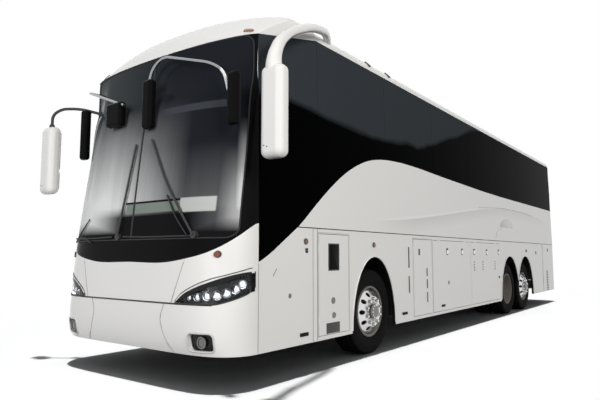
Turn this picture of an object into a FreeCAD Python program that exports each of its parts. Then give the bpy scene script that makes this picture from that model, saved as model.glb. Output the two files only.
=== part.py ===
import FreeCAD, Part
import math
import os
from functools import lru_cache

os.makedirs("parts", exist_ok=True)
V = FreeCAD.Vector

# Three-axle coach, sizes in millimetres. The nose points to -Y, the driver
# sits on the +X side and the tyres stand on the road at Z = 0.

# Overall sizes
LENGTH = 12150.0
WIDTH = 2590.0
SKIRT_Z = 300.0
BELT_Z = 1440.0
GLASS_TOP_Z = 3450.0
ROOF_RISE = 170.0
CAP_RISE = 220.0
WALL_LEAN = 22.0
CAP_BASE_Z = 3220.0
CAP_REACH = 925.0
TAIL_CAP_LENGTH = 575.0
NOSE_DEPTH = 450.0
TAIL_DEPTH = 250.0

# Walls and running gaps
WALL = 45.0
SKIN = 10.0
NOSE_WALL = 40.0
GLASS = 12.0
ROOF_WALL = 40.0
SEAT_GAP = 0.3
SHUT_GAP = 6.0
PIN_GAP = 0.5
PANEL_GAP = 4.0
OVERRUN = 60.0
PARALLEL_COSINE = 0.99

# Axles, tyres and rims
FRONT_OVERHANG = 2560.0
WHEELBASE = 5565.0
TAG_SPACING = 1150.0
TYRE_R = 500.0
TYRE_WIDTH = 290.0
WHEEL_INSET = 58.0
TWIN_SPACING = 335.0
RIM_R = 298.0
RIM_WIDTH = 236.0
RIM_THICK = 12.0
BEAD_R = 286.0
HAND_HOLE_R = 27.0
HAND_HOLE_RING_R = 205.0
HAND_HOLES = 10
HUB_R = 110.0
HUB_LENGTH = 95.0
SPINDLE_R = 45.0

# Wheel arches and wheelhouses
ARCH_Z = 330.0
ARCH_HEIGHT = 820.0
FRONT_ARCH_HALF = 522.0
REAR_ARCH_HALF = 620.0
HOUSE_LOW_Z = 640.0
HOUSE_TOP_Z = 1180.0
HOUSE_WALL = 15.0
HOUSE_INNER_X = 590.0
FRONT_HOUSE_HALF = 572.0
REAR_HOUSE_HALF = 640.0
REAR_HOUSE_INNER_X = 545.0

# Floors
FLOOR_Z = 1400.0
FLOOR_THICK = 60.0
PLATFORM_Z = 1000.0
PLATFORM_REAR_Y = -4165.0
DASH_GAP = 90.0
STEP_COUNT = 3
STEP_TOP_Z = 360.0
STAIR_X = -560.0
STAIR_PLATE = 40.0
AISLE_STEP_HALF = 420.0
AISLE_STEP_DEPTH = 300.0

# Underframe
RAIL_X = 465.0
RAIL_WIDTH = 70.0
RAIL_BOTTOM_Z = 400.0
BAY_BOTTOM_Z = 320.0
BAY_RAIL_DEPTH = 80.0
FRAME_ARCH_Z = 900.0
CROSS_DEPTH = 100.0
CROSS_WIDTH = 80.0
TOW_PLATE_THICK = 30.0
TOW_PLATE_HALF = 60.0
TOW_PLATE_DROP = 175.0
TOW_EYE_R = 20.0
TOW_EYE_RISE = 45.0
PAD_SIDE = 120.0
PAD_THICK = 20.0

# Nose: bumper, fascia, black mask and windscreen, seen from the front
BUMPER_TOP_Z = 735.0
# Gaps between the nose's panels: (share of the half width, share of the
# height of the bumper, or of the fascia up to the black mask's ends)
BUMPER_SPLIT_SHARES = ((0.512, -0.02), (0.465, 0.20), (0.432, 0.39), (0.402, 0.66), (0.408, 0.80),
                       (0.435, 1.02))
FASCIA_SPLIT_SHARES = ((0.500, -0.02), (0.695, 1.02))
MASK_LOW_Z = 1100.0
MASK_EDGE_SHARES = (
    (0.0, 0.0), (0.42, 0.0), (0.60, 0.09), (0.79, 0.26), (0.92, 0.54), (1.0, 1.0),
)
MASK_EDGE_RISE = 350.0
SCREEN_BASE_Z = 1315.0
SCREEN_TOP_Z = 3215.0
SCREEN_HALF = 1232.0
SCREEN_RIM = 35.0
SCREEN_CORNER = 90.0
DIVIDER = 14.0

# Lamps
LAMP_SHARES = ((0.54, 0.02), (0.735, 0.42), (0.91, 0.72), (1.02, 1.02), (1.02, 0.52), (0.992, 0.34),
               (0.955, 0.18), (0.90, 0.06), (0.84, 0.0), (0.64, 0.0))
LAMP_LOW_Z = 742.0
LAMP_HEIGHT = 278.0
LAMP_REAR_Y = -5665.0
LENS = 5.0
BARREL_R = 31.0
BARREL_WALL = 4.0
LAMP_CORE_SHARE = 0.93
BARREL_SHARES = ((0.635, 0.17), (0.70, 0.21), (0.762, 0.27), (0.822, 0.33), (0.88, 0.40), (0.932, 0.50))
FOG_X = 985.0
FOG_Z = 418.0
FOG_R = 52.0
FOG_POCKET_HALF = 118.0
FOG_POCKET_RISE = 72.0
FOG_DEPTH = 26.0
MARKER_R = 26.0
MARKER_THICK = 12.0
MARKER_FRONT_X = 1110.0
MARKER_FRONT_Z = 1172.0
# Places on the side: (share of the side's length behind the front seam, share
# of the height from the skirt to the top of the glass)
FRONT_MARKER_SHARES = (0.0608, 0.3178)
SIDE_MARKER_SHARES = ((0.1788, 0.3133), (0.764, 0.3063))
FRONT_REFLECTOR_SHARES = (0.058, 0.0298)
SIDE_REFLECTOR_SHARES = (0.2469, 0.0359)
REFLECTOR_LENGTH = 130.0
REFLECTOR_HEIGHT = 34.0

REAR_LAMP_X = 1080.0
REAR_LAMP_HALF = 70.0
REAR_LAMP_LOW_Z = 700.0
REAR_LAMP_HIGH_Z = 1330.0

# Side windows behind the black glass
DRIVER_WINDOW_REAR_Y = -4683.0
PANE_COUNT = 7
PANE_GAP = 5.0
PILLAR = 90.0
WINDOW_RIM = 60.0

# Doors
SERVICE_DOOR_Y = (-4692.0, -4110.0)
SIDE_DOOR_Y = (-2444.0, -1822.0)
BAY_DOOR_FIRST_Y = -1790.0
BAY_DOOR_LAST_Y = 1385.0
BAY_DOOR_POST = 40.0
BAY_DOORS = 2
DOOR_LOW_Z = 340.0
DOOR_HIGH_Z = 1388.0
ENTRY_DOOR_Y = (-5550.0, -4700.0)
ENTRY_DOOR_LOW_Z = 345.0
ENTRY_DOOR_TOP_Z = 2700.0
LUG = 70.0
LUG_DEPTH = 16.0
LUG_SHARES = (0.15, 0.85)
ENTRY_DOOR_RIM = 90.0
ENGINE_DOOR_HALF = 880.0
ENGINE_DOOR_LOW_Z = 520.0
ENGINE_DOOR_HIGH_Z = 1390.0
LOUVRE_COUNT = 9
LOUVRE_PITCH = 62.0
LOUVRE_THICK = 10.0
LOUVRE_HALF = 560.0
LOUVRE_LOW_Z = 640.0

# Roof hatches
HATCH_Y = (-2600.0, 2900.0)
HATCH_HALF = 380.0
HATCH_RIM = 40.0
HATCH_LID = 30.0
HATCH_CORNER = 60.0

# Luggage bays
BULKHEAD = 40.0
BAY_FLOOR_THICK = 40.0
BAY_SPLIT_Y = -1806.0

# Dash and steering
DASH_TOP_Z = 1420.0
DASH_FOOT = 240.0
DASH_ROUND = 60.0
DASH_RISE_SHARE = 0.7
CO_DASH_REAR_Y = -5570.0
STEER_X = 720.0
STEER_Y = -5290.0
STEER_Z = 1500.0
STEER_R = 225.0
STEER_TUBE_R = 14.0
RIM_SIDES = 10
SPOKES = 3
FIRST_SPOKE_TURN = -90.0
UPRIGHT_TURN = 90.0
SPOKE_HALF = 20.0
SPOKE_THICK = 10.0
STEER_HUB_R = 48.0
STEER_TILT = 28.0
COLUMN_R = 30.0
COLUMN_LENGTH = 260.0

# Seats
SEAT_ROWS = 12
SEAT_PITCH = 790.0
SEAT_FIRST_Y = -3850.0
SEAT_WIDTH = 1000.0
SEAT_INNER_X = 205.0
SEAT_BASE_Z = 430.0
SEAT_DEPTH = 470.0
SEAT_CUSHION = 130.0
SEAT_BACK = 690.0
SEAT_BACK_THICK = 110.0
SEAT_RECLINE = 130.0
SEAT_LEG = 60.0
DRIVER_SEAT_WIDTH = 520.0
DRIVER_SEAT_Y = -4950.0

# Engine block
ENGINE_HALF = 520.0
ENGINE_Y = (4050.0, 5650.0)
ENGINE_TOP_Z = 1240.0

# Axles and steering knuckles
BEAM_HALF_WIDTH = 55.0
BEAM_DROP = 60.0
FIST_R = 58.0
FIST_HALF = 70.0
YOKE = 36.0
YOKE_BACK = 30.0
YOKE_GAP = 8.0
KINGPIN_R = 24.0
KINGPIN_INSET = 86.0
DRIVE_TUBE_R = 85.0
DRIVE_BOWL_R = 230.0
DRIVE_BOWL_LENGTH = 330.0
SPRING_R = 125.0
SPRING_X = 400.0

# Mirrors
MIRROR_X = 1660.0
MIRROR_WIDTH = 240.0
MIRROR_DEPTH = 150.0
MIRROR_HEIGHT = 800.0
MIRROR_CORNER = 65.0
LEFT_MIRROR_Y = -5850.0
LEFT_MIRROR_Z = 2365.0
RIGHT_MIRROR_Y = -5992.0
RIGHT_MIRROR_Z = 2275.0
LEFT_ARM_R = 43.0
ARM_R = 17.0
LOOP_R = 15.0
FOOT_R = 34.0
POD_HALF = 45.0
POD_ROUND = 36.0
BEND_SHARE = 0.45

# Tyre side: (share of the half width, share of the tyre radius)
TYRE_SIDE_SHARES = ((0.86, 0.60), (1.0, 0.76), (0.94, 0.94), (0.80, 1.0))

# Wheel disc outline and hub: (share of half the twin spacing, share of the
# bead radius)
DISC_SHARES = ((0.42, 0.96), (0.57, 0.915), (0.78, 0.75), (1.0, 0.62))
DISC_THICK = 14.0
HUB_NOSE = 42.0
HUB_NOSE_R = 82.0
TWIN_HUB_LENGTH = 230.0
TWIN_NOSE = 150.0

# Wiper arms
WIPER_R = 11.0
WIPER_LIFT = 27.0

# Places along tubes: (share of the half width, share of the nose depth behind
# the nose, share of the height)
LEFT_ARM_SHARES = ((0.8649, 4.0556, 0.9482), (1.027, 3.3667, 0.9728), (1.112, 2.3889, 0.9428),
                   (1.1892, 1.3222, 0.8774), (1.2664, 0.6111, 0.812))
RIGHT_ARM_SHARES = ((-1.2819, 0.1844, 0.7711), (-1.2046, 0.3222, 0.7902), (-1.0656, 0.6111, 0.7902),
                    (-0.9035, 1.0111, 0.7711))
LOOP_SHARES = ((0.0463, 0.8333, 0.6975), (0.0463, 0.2556, 0.7084), (0.0541, 0.3889, 0.8311),
               (0.1853, 0.4111, 0.8583), (0.695, 0.4333, 0.8038), (0.834, 0.4333, 0.7738),
               (0.9653, 0.3444, 0.6594))
BAR_SHARES = ((-0.9498, 1.0556, 0.8365), (-0.9498, 0.6111, 0.8365), (-0.1931, 0.1889, 0.7384))

# Mirrors ahead of the windscreen: place as above, then (share of the mirror
# width, share of the mirror height) to each side of it
SCREEN_MIRROR_SHARES = ((0.9653, 0.3444, 0.6921, 0.25, 0.3), (0.1004, 0.2356, 0.7248, 0.2917, 0.3125),
                        (-0.332, 0.2511, 0.7193, 0.5417, 0.1625), (-1.027, 0.7067, 0.7038, 0.25, 0.375))

# Wiper arms: (share of the half width, share of the windscreen's height)
WIPER_SHARES = (((0.6795, 0.0158), (0.5328, 0.1395), (0.3707, 0.2711), (0.139, 0.5184)),
                ((-0.1544, 0.0158), (-0.1081, 0.1868), (-0.0463, 0.5079)))

HALF = WIDTH / 2
NOSE_Y = -LENGTH / 2
TAIL_Y = LENGTH / 2
SEAM_Y = NOSE_Y + NOSE_DEPTH
REAR_SEAM_Y = TAIL_Y - TAIL_DEPTH
FRONT_Y = NOSE_Y + FRONT_OVERHANG
DRIVE_Y = FRONT_Y + WHEELBASE
TAG_Y = DRIVE_Y + TAG_SPACING
WHEEL_X = HALF - WHEEL_INSET - TYRE_WIDTH / 2
KINGPIN_X = WHEEL_X - KINGPIN_INSET
ROOF_Z = GLASS_TOP_Z + ROOF_RISE
CAP_Z = GLASS_TOP_Z + CAP_RISE
CAP_REAR_Y = SEAM_Y + CAP_REACH
TAIL_CAP_Y = TAIL_Y - TAIL_CAP_LENGTH

# Lower edge of the black side glass: (share of the side's length behind the
# front seam, share of the height from the skirt to the top of the glass)
WAVE_SHARES = (
    (0.0, 0.2546), (0.0165, 0.2850), (0.0330, 0.3230), (0.0511, 0.3650), (0.0718, 0.4243),
    (0.1016, 0.5070), (0.1241, 0.5600), (0.1483, 0.6040), (0.1750, 0.6370), (0.2200, 0.6600),
    (0.2750, 0.6650), (0.3400, 0.6590), (0.4100, 0.6520), (0.5550, 0.6410), (0.7500, 0.6375),
    (1.0, 0.6345),
)

# Nose levels from the skirt to the cap: (share of that height, share of the
# nose depth by which the centre line sits back, power of the plan curve, root)
NOSE_LEVEL_SHARES = (
    (0.0, 0.133, 7.0, 2.0), (0.041, 0.033, 7.0, 2.0), (0.103, 0.0, 6.8, 2.0),
    (0.149, 0.011, 6.5, 2.0), (0.274, 0.056, 6.0, 1.95), (0.346, 0.089, 5.6, 1.9),
    (0.480, 0.167, 4.8, 1.75), (0.651, 0.289, 3.8, 1.55), (0.822, 0.444, 2.9, 1.3),
    (1.0, 0.65, 2.3, 1.15),
)

# Cap levels: (share of the height from the cap's base to its crown, share of
# the nose depth at the tip, share of the nose depth where the side begins,
# share of the half width)
CAP_LEVEL_SHARES = (
    (0.0, 0.644, 1.0, 1.0), (0.178, 0.744, 1.24, 1.0), (0.356, 0.856, 1.52, 1.0),
    (0.511, 0.989, 1.80, 1.0), (0.667, 1.156, 2.05, 0.988), (0.80, 1.389, 2.25, 0.958),
    (0.889, 1.656, 2.45, 0.905), (0.956, 2.011, 2.60, 0.80), (1.0, 2.35, 2.75, 0.62),
)
TAIL_CAP_SIDE_SHARE = 0.6

# Plan curves of the cap and the tail: power of the width, root of the depth
CAP_PLAN = (2.6, 1.4)
TAIL_PLAN = (9.0, 2.0)

CAP_LIP_LENGTH = 160.0
CAP_LIP_DROP = 28.0

# Tail levels: (share of the height from the skirt to the top of the glass,
# share of the tail depth by which the centre line sits inside the tail)
TAIL_LEVEL_SHARES = (
    (0.0, 0.72), (0.04, 0.34), (0.10, 0.10), (0.22, 0.02), (0.36, 0.0),
    (0.66, 0.20), (0.92, 0.50), (1.0, 0.60),
)

# Roof across the coach: (share of the half width, share of the roof's rise)
ROOF_SECTION_SHARES = ((1.0, 0.0), (0.975, 0.5), (0.88, 0.8), (0.0, 1.0))
# Roof's rear end from the side: (share of the tail cap's length by which it
# sits inside the tail, share of the roof's rise)
ROOF_END_SHARES = ((0.26, 0.0), (0.36, 0.6), (0.62, 0.9), (0.90, 1.0))
PLAN_SHARES = (0.0, 0.35, 0.6, 0.76, 0.88, 0.95, 0.985, 1.0)


def box(x0, x1, y0, y1, z0, z1):
    """Block between two corners."""
    return Part.makeBox(x1 - x0, y1 - y0, z1 - z0, V(x0, y0, z0))


def spline(points):
    """Smooth curve through points."""
    curve = Part.BSplineCurve()
    curve.interpolate(points)
    return curve.toShape()


def polyline(points):
    """Straight edges from point to point."""
    return [Part.LineSegment(a, b).toShape() for a, b in zip(points, points[1:])]


def face_of(edges):
    """Flat face inside a closed chain of edges."""
    return Part.Face(Part.Wire(edges))


def side_prism(points, x0, x1):
    """Outline of (y, z) points, extruded along X."""
    ring = [V(x0, y, z) for y, z in points]
    return face_of(polyline(ring + ring[:1])).extrude(V(x1 - x0, 0, 0))


def front_prism(points, y0, y1):
    """Outline of (x, z) points, extruded along Y."""
    ring = [V(x, y0, z) for x, z in points]
    return face_of(polyline(ring + ring[:1])).extrude(V(0, y1 - y0, 0))


def mirrored(shape):
    """The same shape on the other side of the coach."""
    return shape.mirror(V(0, 0, 0), V(1, 0, 0))


def pair(shape):
    """A shape and its mirror image."""
    return Part.makeCompound([shape, mirrored(shape)])


def fused(shapes):
    """One solid from touching shapes."""
    return shapes[0].fuse(shapes[1:]).removeSplitter()


def between(low, high, share):
    """Value at a share of the way from low to high."""
    return low + (high - low) * share


def wall_x(z):
    """Outer face of the side wall at height z."""
    lean = max(0.0, z - BELT_Z) / (GLASS_TOP_Z - BELT_Z)
    return HALF - WALL_LEAN * lean


def save(name, shape):
    """Write one piece."""
    solids = shape.Solids
    if not shape.isValid() or not solids:
        raise ValueError("bad shape " + name)
    shape = solids[0] if len(solids) == 1 else Part.makeCompound(solids)
    shape.exportStep("parts/" + name + ".step")
    print(name, len(solids), "solids", len(shape.Faces), "faces", round(shape.Volume / 1e9, 4), "m3")


def plan_setback(share, power, root):
    """How far the plan curve falls back at a share of the half width."""
    return 1.0 - (1.0 - share ** power) ** (1.0 / root)


def level_wire(z, half, tip_y, side_y, back_y, power, root):
    """Closed plan outline: a curved end and a straight back."""
    right = [V(half * s, tip_y + (side_y - tip_y) * plan_setback(s, power, root), z)
             for s in PLAN_SHARES]
    left = [V(-p.x, p.y, z) for p in reversed(right[1:])]
    corners = [right[-1], V(half, back_y, z), V(-half, back_y, z), left[0]]
    return Part.Wire([spline(left + right)] + polyline(corners))


@lru_cache(None)
def nose_block(inset):
    """Nose from the skirt to the base of the cap, set in all round."""
    wires = []
    for rise, back, power, root in NOSE_LEVEL_SHARES:
        z = between(SKIRT_Z, CAP_BASE_Z, rise)
        tip_y = NOSE_Y + NOSE_DEPTH * back + inset
        wires.append(level_wire(z, wall_x(z) - inset, tip_y, SEAM_Y, SEAM_Y + OVERRUN, power, root))
    return Part.makeLoft(wires, True, False)


@lru_cache(None)
def cap_block(inset):
    """Front cap over the windscreen, from its base to its crown."""
    wires = []
    height = CAP_Z - CAP_BASE_Z - inset
    for rise, tip, side, width in CAP_LEVEL_SHARES:
        z = CAP_BASE_Z + height * rise
        half = wall_x(min(z, GLASS_TOP_Z)) * width - inset
        tip_y = NOSE_Y + NOSE_DEPTH * tip + inset
        side_y = NOSE_Y + NOSE_DEPTH * side
        wires.append(level_wire(z, half, tip_y, side_y, CAP_REAR_Y + OVERRUN, *CAP_PLAN))
    return Part.makeLoft(wires, True, False)


@lru_cache(None)
def tail_block(inset):
    """Tail from the skirt to the top of the glass, set in all round."""
    wires = []
    for rise, back in TAIL_LEVEL_SHARES:
        z = between(SKIRT_Z, GLASS_TOP_Z, rise)
        tip_y = TAIL_Y - TAIL_DEPTH * back - inset
        wires.append(level_wire(z, wall_x(z) - inset, tip_y, REAR_SEAM_Y, REAR_SEAM_Y - OVERRUN, *TAIL_PLAN))
    return Part.makeLoft(wires, True, False)


@lru_cache(None)
def roof_block(inset):
    """Roof from the front cap to its rounded rear end, set in all round."""
    front_y = CAP_REAR_Y - inset
    rise = ROOF_RISE - inset
    section = [V((wall_x(GLASS_TOP_Z) - inset) * w, front_y, GLASS_TOP_Z + rise * r)
               for w, r in ROOF_SECTION_SHARES]
    foot, side, edge, crown = section
    left = [V(-p.x, p.y, p.z) for p in (edge, side, foot)]
    across = [Part.Arc(foot, side, edge).toShape(), Part.Arc(edge, crown, left[0]).toShape(),
              Part.Arc(*left).toShape(), Part.LineSegment(left[-1], foot).toShape()]
    length = TAIL_Y - TAIL_CAP_Y
    tail = [V(-WIDTH, TAIL_Y - length * b - inset, GLASS_TOP_Z + rise * r) for b, r in ROOF_END_SHARES]
    top = V(-WIDTH, front_y, tail[-1].z)
    along = [Part.Arc(*tail[:3]).toShape()] + polyline(
        tail[2:] + [top, V(-WIDTH, front_y, GLASS_TOP_Z), tail[0]])
    end_y = tail[0].y + PANEL_GAP
    side_y = end_y - TAIL_DEPTH * TAIL_CAP_SIDE_SHARE
    plan = Part.Face(level_wire(GLASS_TOP_Z - OVERRUN, foot.x + PANEL_GAP, end_y, side_y, front_y - OVERRUN,
                                *TAIL_PLAN))
    body = face_of(across).extrude(V(0, TAIL_Y - front_y, 0))
    body = body.common(face_of(along).extrude(V(2 * WIDTH, 0, 0)))
    return body.common(plan.extrude(V(0, 0, ROOF_RISE + 2 * OVERRUN)))


def nose_y(x, z):
    """Outer face of the nose in front of a point at x and z."""
    rows = NOSE_LEVEL_SHARES
    rise = (z - SKIRT_Z) / (CAP_BASE_Z - SKIRT_Z)
    low, high = next((a, b) for a, b in zip(rows, rows[1:]) if a[0] <= rise <= b[0])
    part = (rise - low[0]) / (high[0] - low[0])
    back, power, root = (between(low[i], high[i], part) for i in (1, 2, 3))
    tip_y = NOSE_Y + NOSE_DEPTH * back
    return tip_y + (SEAM_Y - tip_y) * plan_setback(abs(x) / wall_x(z), power, root)


def lean_slab(outer, inner, y0, y1):
    """Layer of the upper side wall on the +X side, between two depths."""
    ring = [V(wall_x(BELT_Z) - outer, y0, BELT_Z), V(wall_x(GLASS_TOP_Z) - outer, y0, GLASS_TOP_Z),
            V(wall_x(GLASS_TOP_Z) - inner, y0, GLASS_TOP_Z), V(wall_x(BELT_Z) - inner, y0, BELT_Z)]
    return face_of(polyline(ring + ring[:1])).extrude(V(0, y1 - y0, 0))


def wave_point(along, rise, raised):
    """Point of the black glass's lower edge, as (y, z)."""
    return between(SEAM_Y, TAIL_Y, along), between(SKIRT_Z, GLASS_TOP_Z, rise) + raised


def glass_region(raised, y0, y1):
    """Prism on the +X side that holds the black glass, between two stations."""
    edge = [V(HALF - WALL - OVERRUN, *wave_point(a, r, raised)) for a, r in WAVE_SHARES]
    top_z = GLASS_TOP_Z + OVERRUN
    corners = [edge[-1], V(edge[0].x, edge[-1].y, top_z), V(edge[0].x, SEAM_Y, top_z), edge[0]]
    region = face_of([spline(edge)] + polyline(corners)).extrude(V(WALL + 2 * OVERRUN, 0, 0))
    return region.common(box(0, WIDTH, y0, y1, 0, CAP_Z))


def cap_space(grow=0.0):
    """Everything above the lower edge of the front cap."""
    front_y = NOSE_Y - OVERRUN
    points = [(front_y, CAP_BASE_Z - grow), (SEAM_Y, CAP_BASE_Z - grow), (CAP_REAR_Y + grow, GLASS_TOP_Z),
              (CAP_REAR_Y + grow, CAP_Z + OVERRUN), (front_y, CAP_Z + OVERRUN)]
    return side_prism(points, -WIDTH, WIDTH)


def arch_cutter(axle_y, half):
    """Elliptical wheel arch, cut through the side on the +X side."""
    centre = V(HALF - WALL - OVERRUN, axle_y, ARCH_Z)
    ellipse = Part.Ellipse(centre + V(0, 0, ARCH_HEIGHT), centre + V(0, half, 0), centre)
    return Part.Face(Part.Wire(ellipse.toShape())).extrude(V(WALL + 2 * OVERRUN, 0, 0))


def bay_door_spans():
    """Start and end of each luggage door along the coach."""
    pitch = (BAY_DOOR_LAST_Y - BAY_DOOR_FIRST_Y + BAY_DOOR_POST) / BAY_DOORS
    return [(BAY_DOOR_FIRST_Y + i * pitch, BAY_DOOR_FIRST_Y + (i + 1) * pitch - BAY_DOOR_POST)
            for i in range(BAY_DOORS)]


def entry_outline(gap):
    """Block that holds the entry door on the +X side, grown by a gap."""
    return box(0, WIDTH, ENTRY_DOOR_Y[0] - gap, ENTRY_DOOR_Y[1] + gap,
               ENTRY_DOOR_LOW_Z - gap, ENTRY_DOOR_TOP_Z + gap)


def lower_slab(outer, inner):
    """Layer of the lower side panel on the +X side, between two depths."""
    return box(HALF - inner, HALF - outer, SEAM_Y, REAR_SEAM_Y, SKIRT_Z, BELT_Z)


def side_panel(doors):
    """Lower side panel on the +X side, with its arches and door openings."""
    black = glass_region(0.0, SEAM_Y, TAIL_Y)
    panel = lower_slab(0.0, WALL).cut(lower_slab(0.0, SKIN).common(black))
    tools = [arch_cutter(FRONT_Y, FRONT_ARCH_HALF), arch_cutter(DRIVE_Y, REAR_ARCH_HALF),
             arch_cutter(TAG_Y, REAR_ARCH_HALF)]
    for y0, y1 in doors:
        tools.append(box(0, WIDTH, y0, y1, DOOR_LOW_Z, DOOR_HIGH_Z))
    return panel.cut(tools)


def side_wall():
    """Upper side wall on the +X side: window frame and white skin."""
    frame = lean_slab(SKIN, WALL, SEAM_Y, REAR_SEAM_Y)
    opening = glass_region(WINDOW_RIM, SEAM_Y + WINDOW_RIM, REAR_SEAM_Y - WINDOW_RIM)
    ledge = cap_space(WINDOW_RIM).fuse(box(0, WIDTH, SEAM_Y, TAIL_Y, GLASS_TOP_Z - WINDOW_RIM, CAP_Z))
    opening = opening.cut(ledge)
    posts = [box(0, WIDTH, y - PILLAR / 2, y + PILLAR / 2, SKIRT_Z, CAP_Z) for y in pane_lines()]
    opening = opening.cut(posts)
    skin = lean_slab(0.0, SKIN, SEAM_Y, REAR_SEAM_Y).cut(glass_region(0.0, SEAM_Y, TAIL_Y))
    return frame.cut(opening).fuse(skin).cut(cap_space()).removeSplitter()


def pane_lines():
    """Places along the coach where two side panes meet."""
    pitch = (REAR_SEAM_Y - DRIVER_WINDOW_REAR_Y) / PANE_COUNT
    return [DRIVER_WINDOW_REAR_Y + i * pitch for i in range(PANE_COUNT)]


def side_glass():
    """Black glass on the +X side, one pane between two joints."""
    sheet = lean_slab(0.0, SKIN, SEAM_Y, REAR_SEAM_Y).fuse(lower_slab(0.0, SKIN)).removeSplitter()
    sheet = sheet.common(glass_region(0.0, SEAM_Y, REAR_SEAM_Y)).cut(cap_space())
    joints = [box(0, WIDTH, y - PANE_GAP / 2, y + PANE_GAP / 2, SKIRT_Z, CAP_Z) for y in pane_lines()]
    return sheet.cut(joints)


def entry_door_parts():
    """Frame and glass of the entry door, modelled on the +X side."""
    leaf = entry_outline(0.0)
    black = glass_region(0.0, SEAM_Y, TAIL_Y)
    skin = lower_slab(0.0, SKIN).fuse(lean_slab(0.0, SKIN, SEAM_Y, REAR_SEAM_Y))
    frame = lower_slab(SKIN, WALL).fuse(lean_slab(SKIN, WALL, SEAM_Y, REAR_SEAM_Y))
    window = box(0, WIDTH, ENTRY_DOOR_Y[0] + ENTRY_DOOR_RIM, ENTRY_DOOR_Y[1] - ENTRY_DOOR_RIM,
                 MASK_LOW_Z + MASK_EDGE_RISE, ENTRY_DOOR_TOP_Z - ENTRY_DOOR_RIM)
    body = frame.common(leaf).cut(window).fuse(skin.common(leaf).cut(black))
    lugs = [box(HALF - LUG_DEPTH - SKIN, HALF - SKIN, ENTRY_DOOR_Y[0] - SHUT_GAP + SEAT_GAP, ENTRY_DOOR_Y[0],
                z - LUG / 2, z + LUG / 2) for z in (ENTRY_DOOR_LOW_Z + LUG * 2, BELT_Z - LUG)]
    return body.fuse(lugs).removeSplitter(), skin.removeSplitter().common(leaf).common(black)


def hinged_leaf(y0, y1, upright):
    """Flat door on the +X side with lugs on its hinge edge."""
    leaf = box(HALF - WALL, HALF, y0 + SHUT_GAP, y1 - SHUT_GAP, DOOR_LOW_Z + SHUT_GAP, DOOR_HIGH_Z - SHUT_GAP)
    lugs = []
    for share in LUG_SHARES:
        if upright:
            z = between(DOOR_LOW_Z, DOOR_HIGH_Z, share)
            lugs.append(box(HALF - LUG_DEPTH, HALF, y0 + SEAT_GAP, y0 + SHUT_GAP, z - LUG / 2, z + LUG / 2))
        else:
            y = between(y0, y1, share)
            lugs.append(box(HALF - LUG_DEPTH, HALF, y - LUG / 2, y + LUG / 2,
                            DOOR_HIGH_Z - SHUT_GAP, DOOR_HIGH_Z - SEAT_GAP))
    return leaf.fuse(lugs).removeSplitter()


@lru_cache(None)
def nose_shell(outer, inner):
    """Nose wall between two depths, in front of the corner seam."""
    return nose_block(outer).cut(nose_block(inner)).common(
        box(-WIDTH, WIDTH, NOSE_Y - OVERRUN, SEAM_Y, 0, CAP_Z))


def mask_space():
    """Everything above the lower edge of the black mask."""
    half = HALF + OVERRUN
    right = [V(HALF * s, NOSE_Y - OVERRUN, MASK_LOW_Z + MASK_EDGE_RISE * r) for s, r in MASK_EDGE_SHARES]
    left = [V(-p.x, p.y, p.z) for p in reversed(right[1:])]
    ends = [right[-1], V(half, right[-1].y, right[-1].z), V(half, right[-1].y, CAP_Z),
            V(-half, right[-1].y, CAP_Z), V(-half, right[-1].y, right[-1].z), left[0]]
    return face_of([spline(left + right)] + polyline(ends)).extrude(V(0, NOSE_DEPTH + 2 * OVERRUN, 0))


def screen_space(grow):
    """Rounded outline of the windscreen, seen from the front."""
    half = SCREEN_HALF + grow
    y0 = NOSE_Y - OVERRUN
    block = box(-half, half, y0, SEAM_Y + OVERRUN, SCREEN_BASE_Z - grow, SCREEN_TOP_Z + grow)
    edges = [e for e in block.Edges if abs(e.tangentAt(0).y) > PARALLEL_COSINE]
    return block.makeFillet(SCREEN_CORNER, edges)


def split_gap(shares, low_z, high_z):
    """Gap between two panels of the nose on the +X side, seen from the front."""
    line = [(HALF * s, between(low_z, high_z, r)) for s, r in shares]
    points = [(x - PANEL_GAP / 2, z) for x, z in line] + [(x + PANEL_GAP / 2, z) for x, z in reversed(line)]
    return front_prism(points, NOSE_Y - OVERRUN, SEAM_Y)


def lamp_space():
    """Outline of the headlamp on the +X side, ahead of the corner seam."""
    points = [(HALF * s, LAMP_LOW_Z + LAMP_HEIGHT * r) for s, r in LAMP_SHARES]
    return front_prism(points, NOSE_Y - OVERRUN, LAMP_REAR_Y)


def fog_pocket():
    """Recess of the fog lamp on the +X side."""
    block = box(FOG_X - FOG_POCKET_HALF, FOG_X + FOG_POCKET_HALF, NOSE_Y - OVERRUN, SEAM_Y,
                FOG_Z - FOG_POCKET_RISE, FOG_Z + FOG_POCKET_RISE)
    edges = [e for e in block.Edges if abs(e.tangentAt(0).y) > PARALLEL_COSINE]
    return block.makeFillet(FOG_POCKET_RISE / 2, edges)


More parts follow.
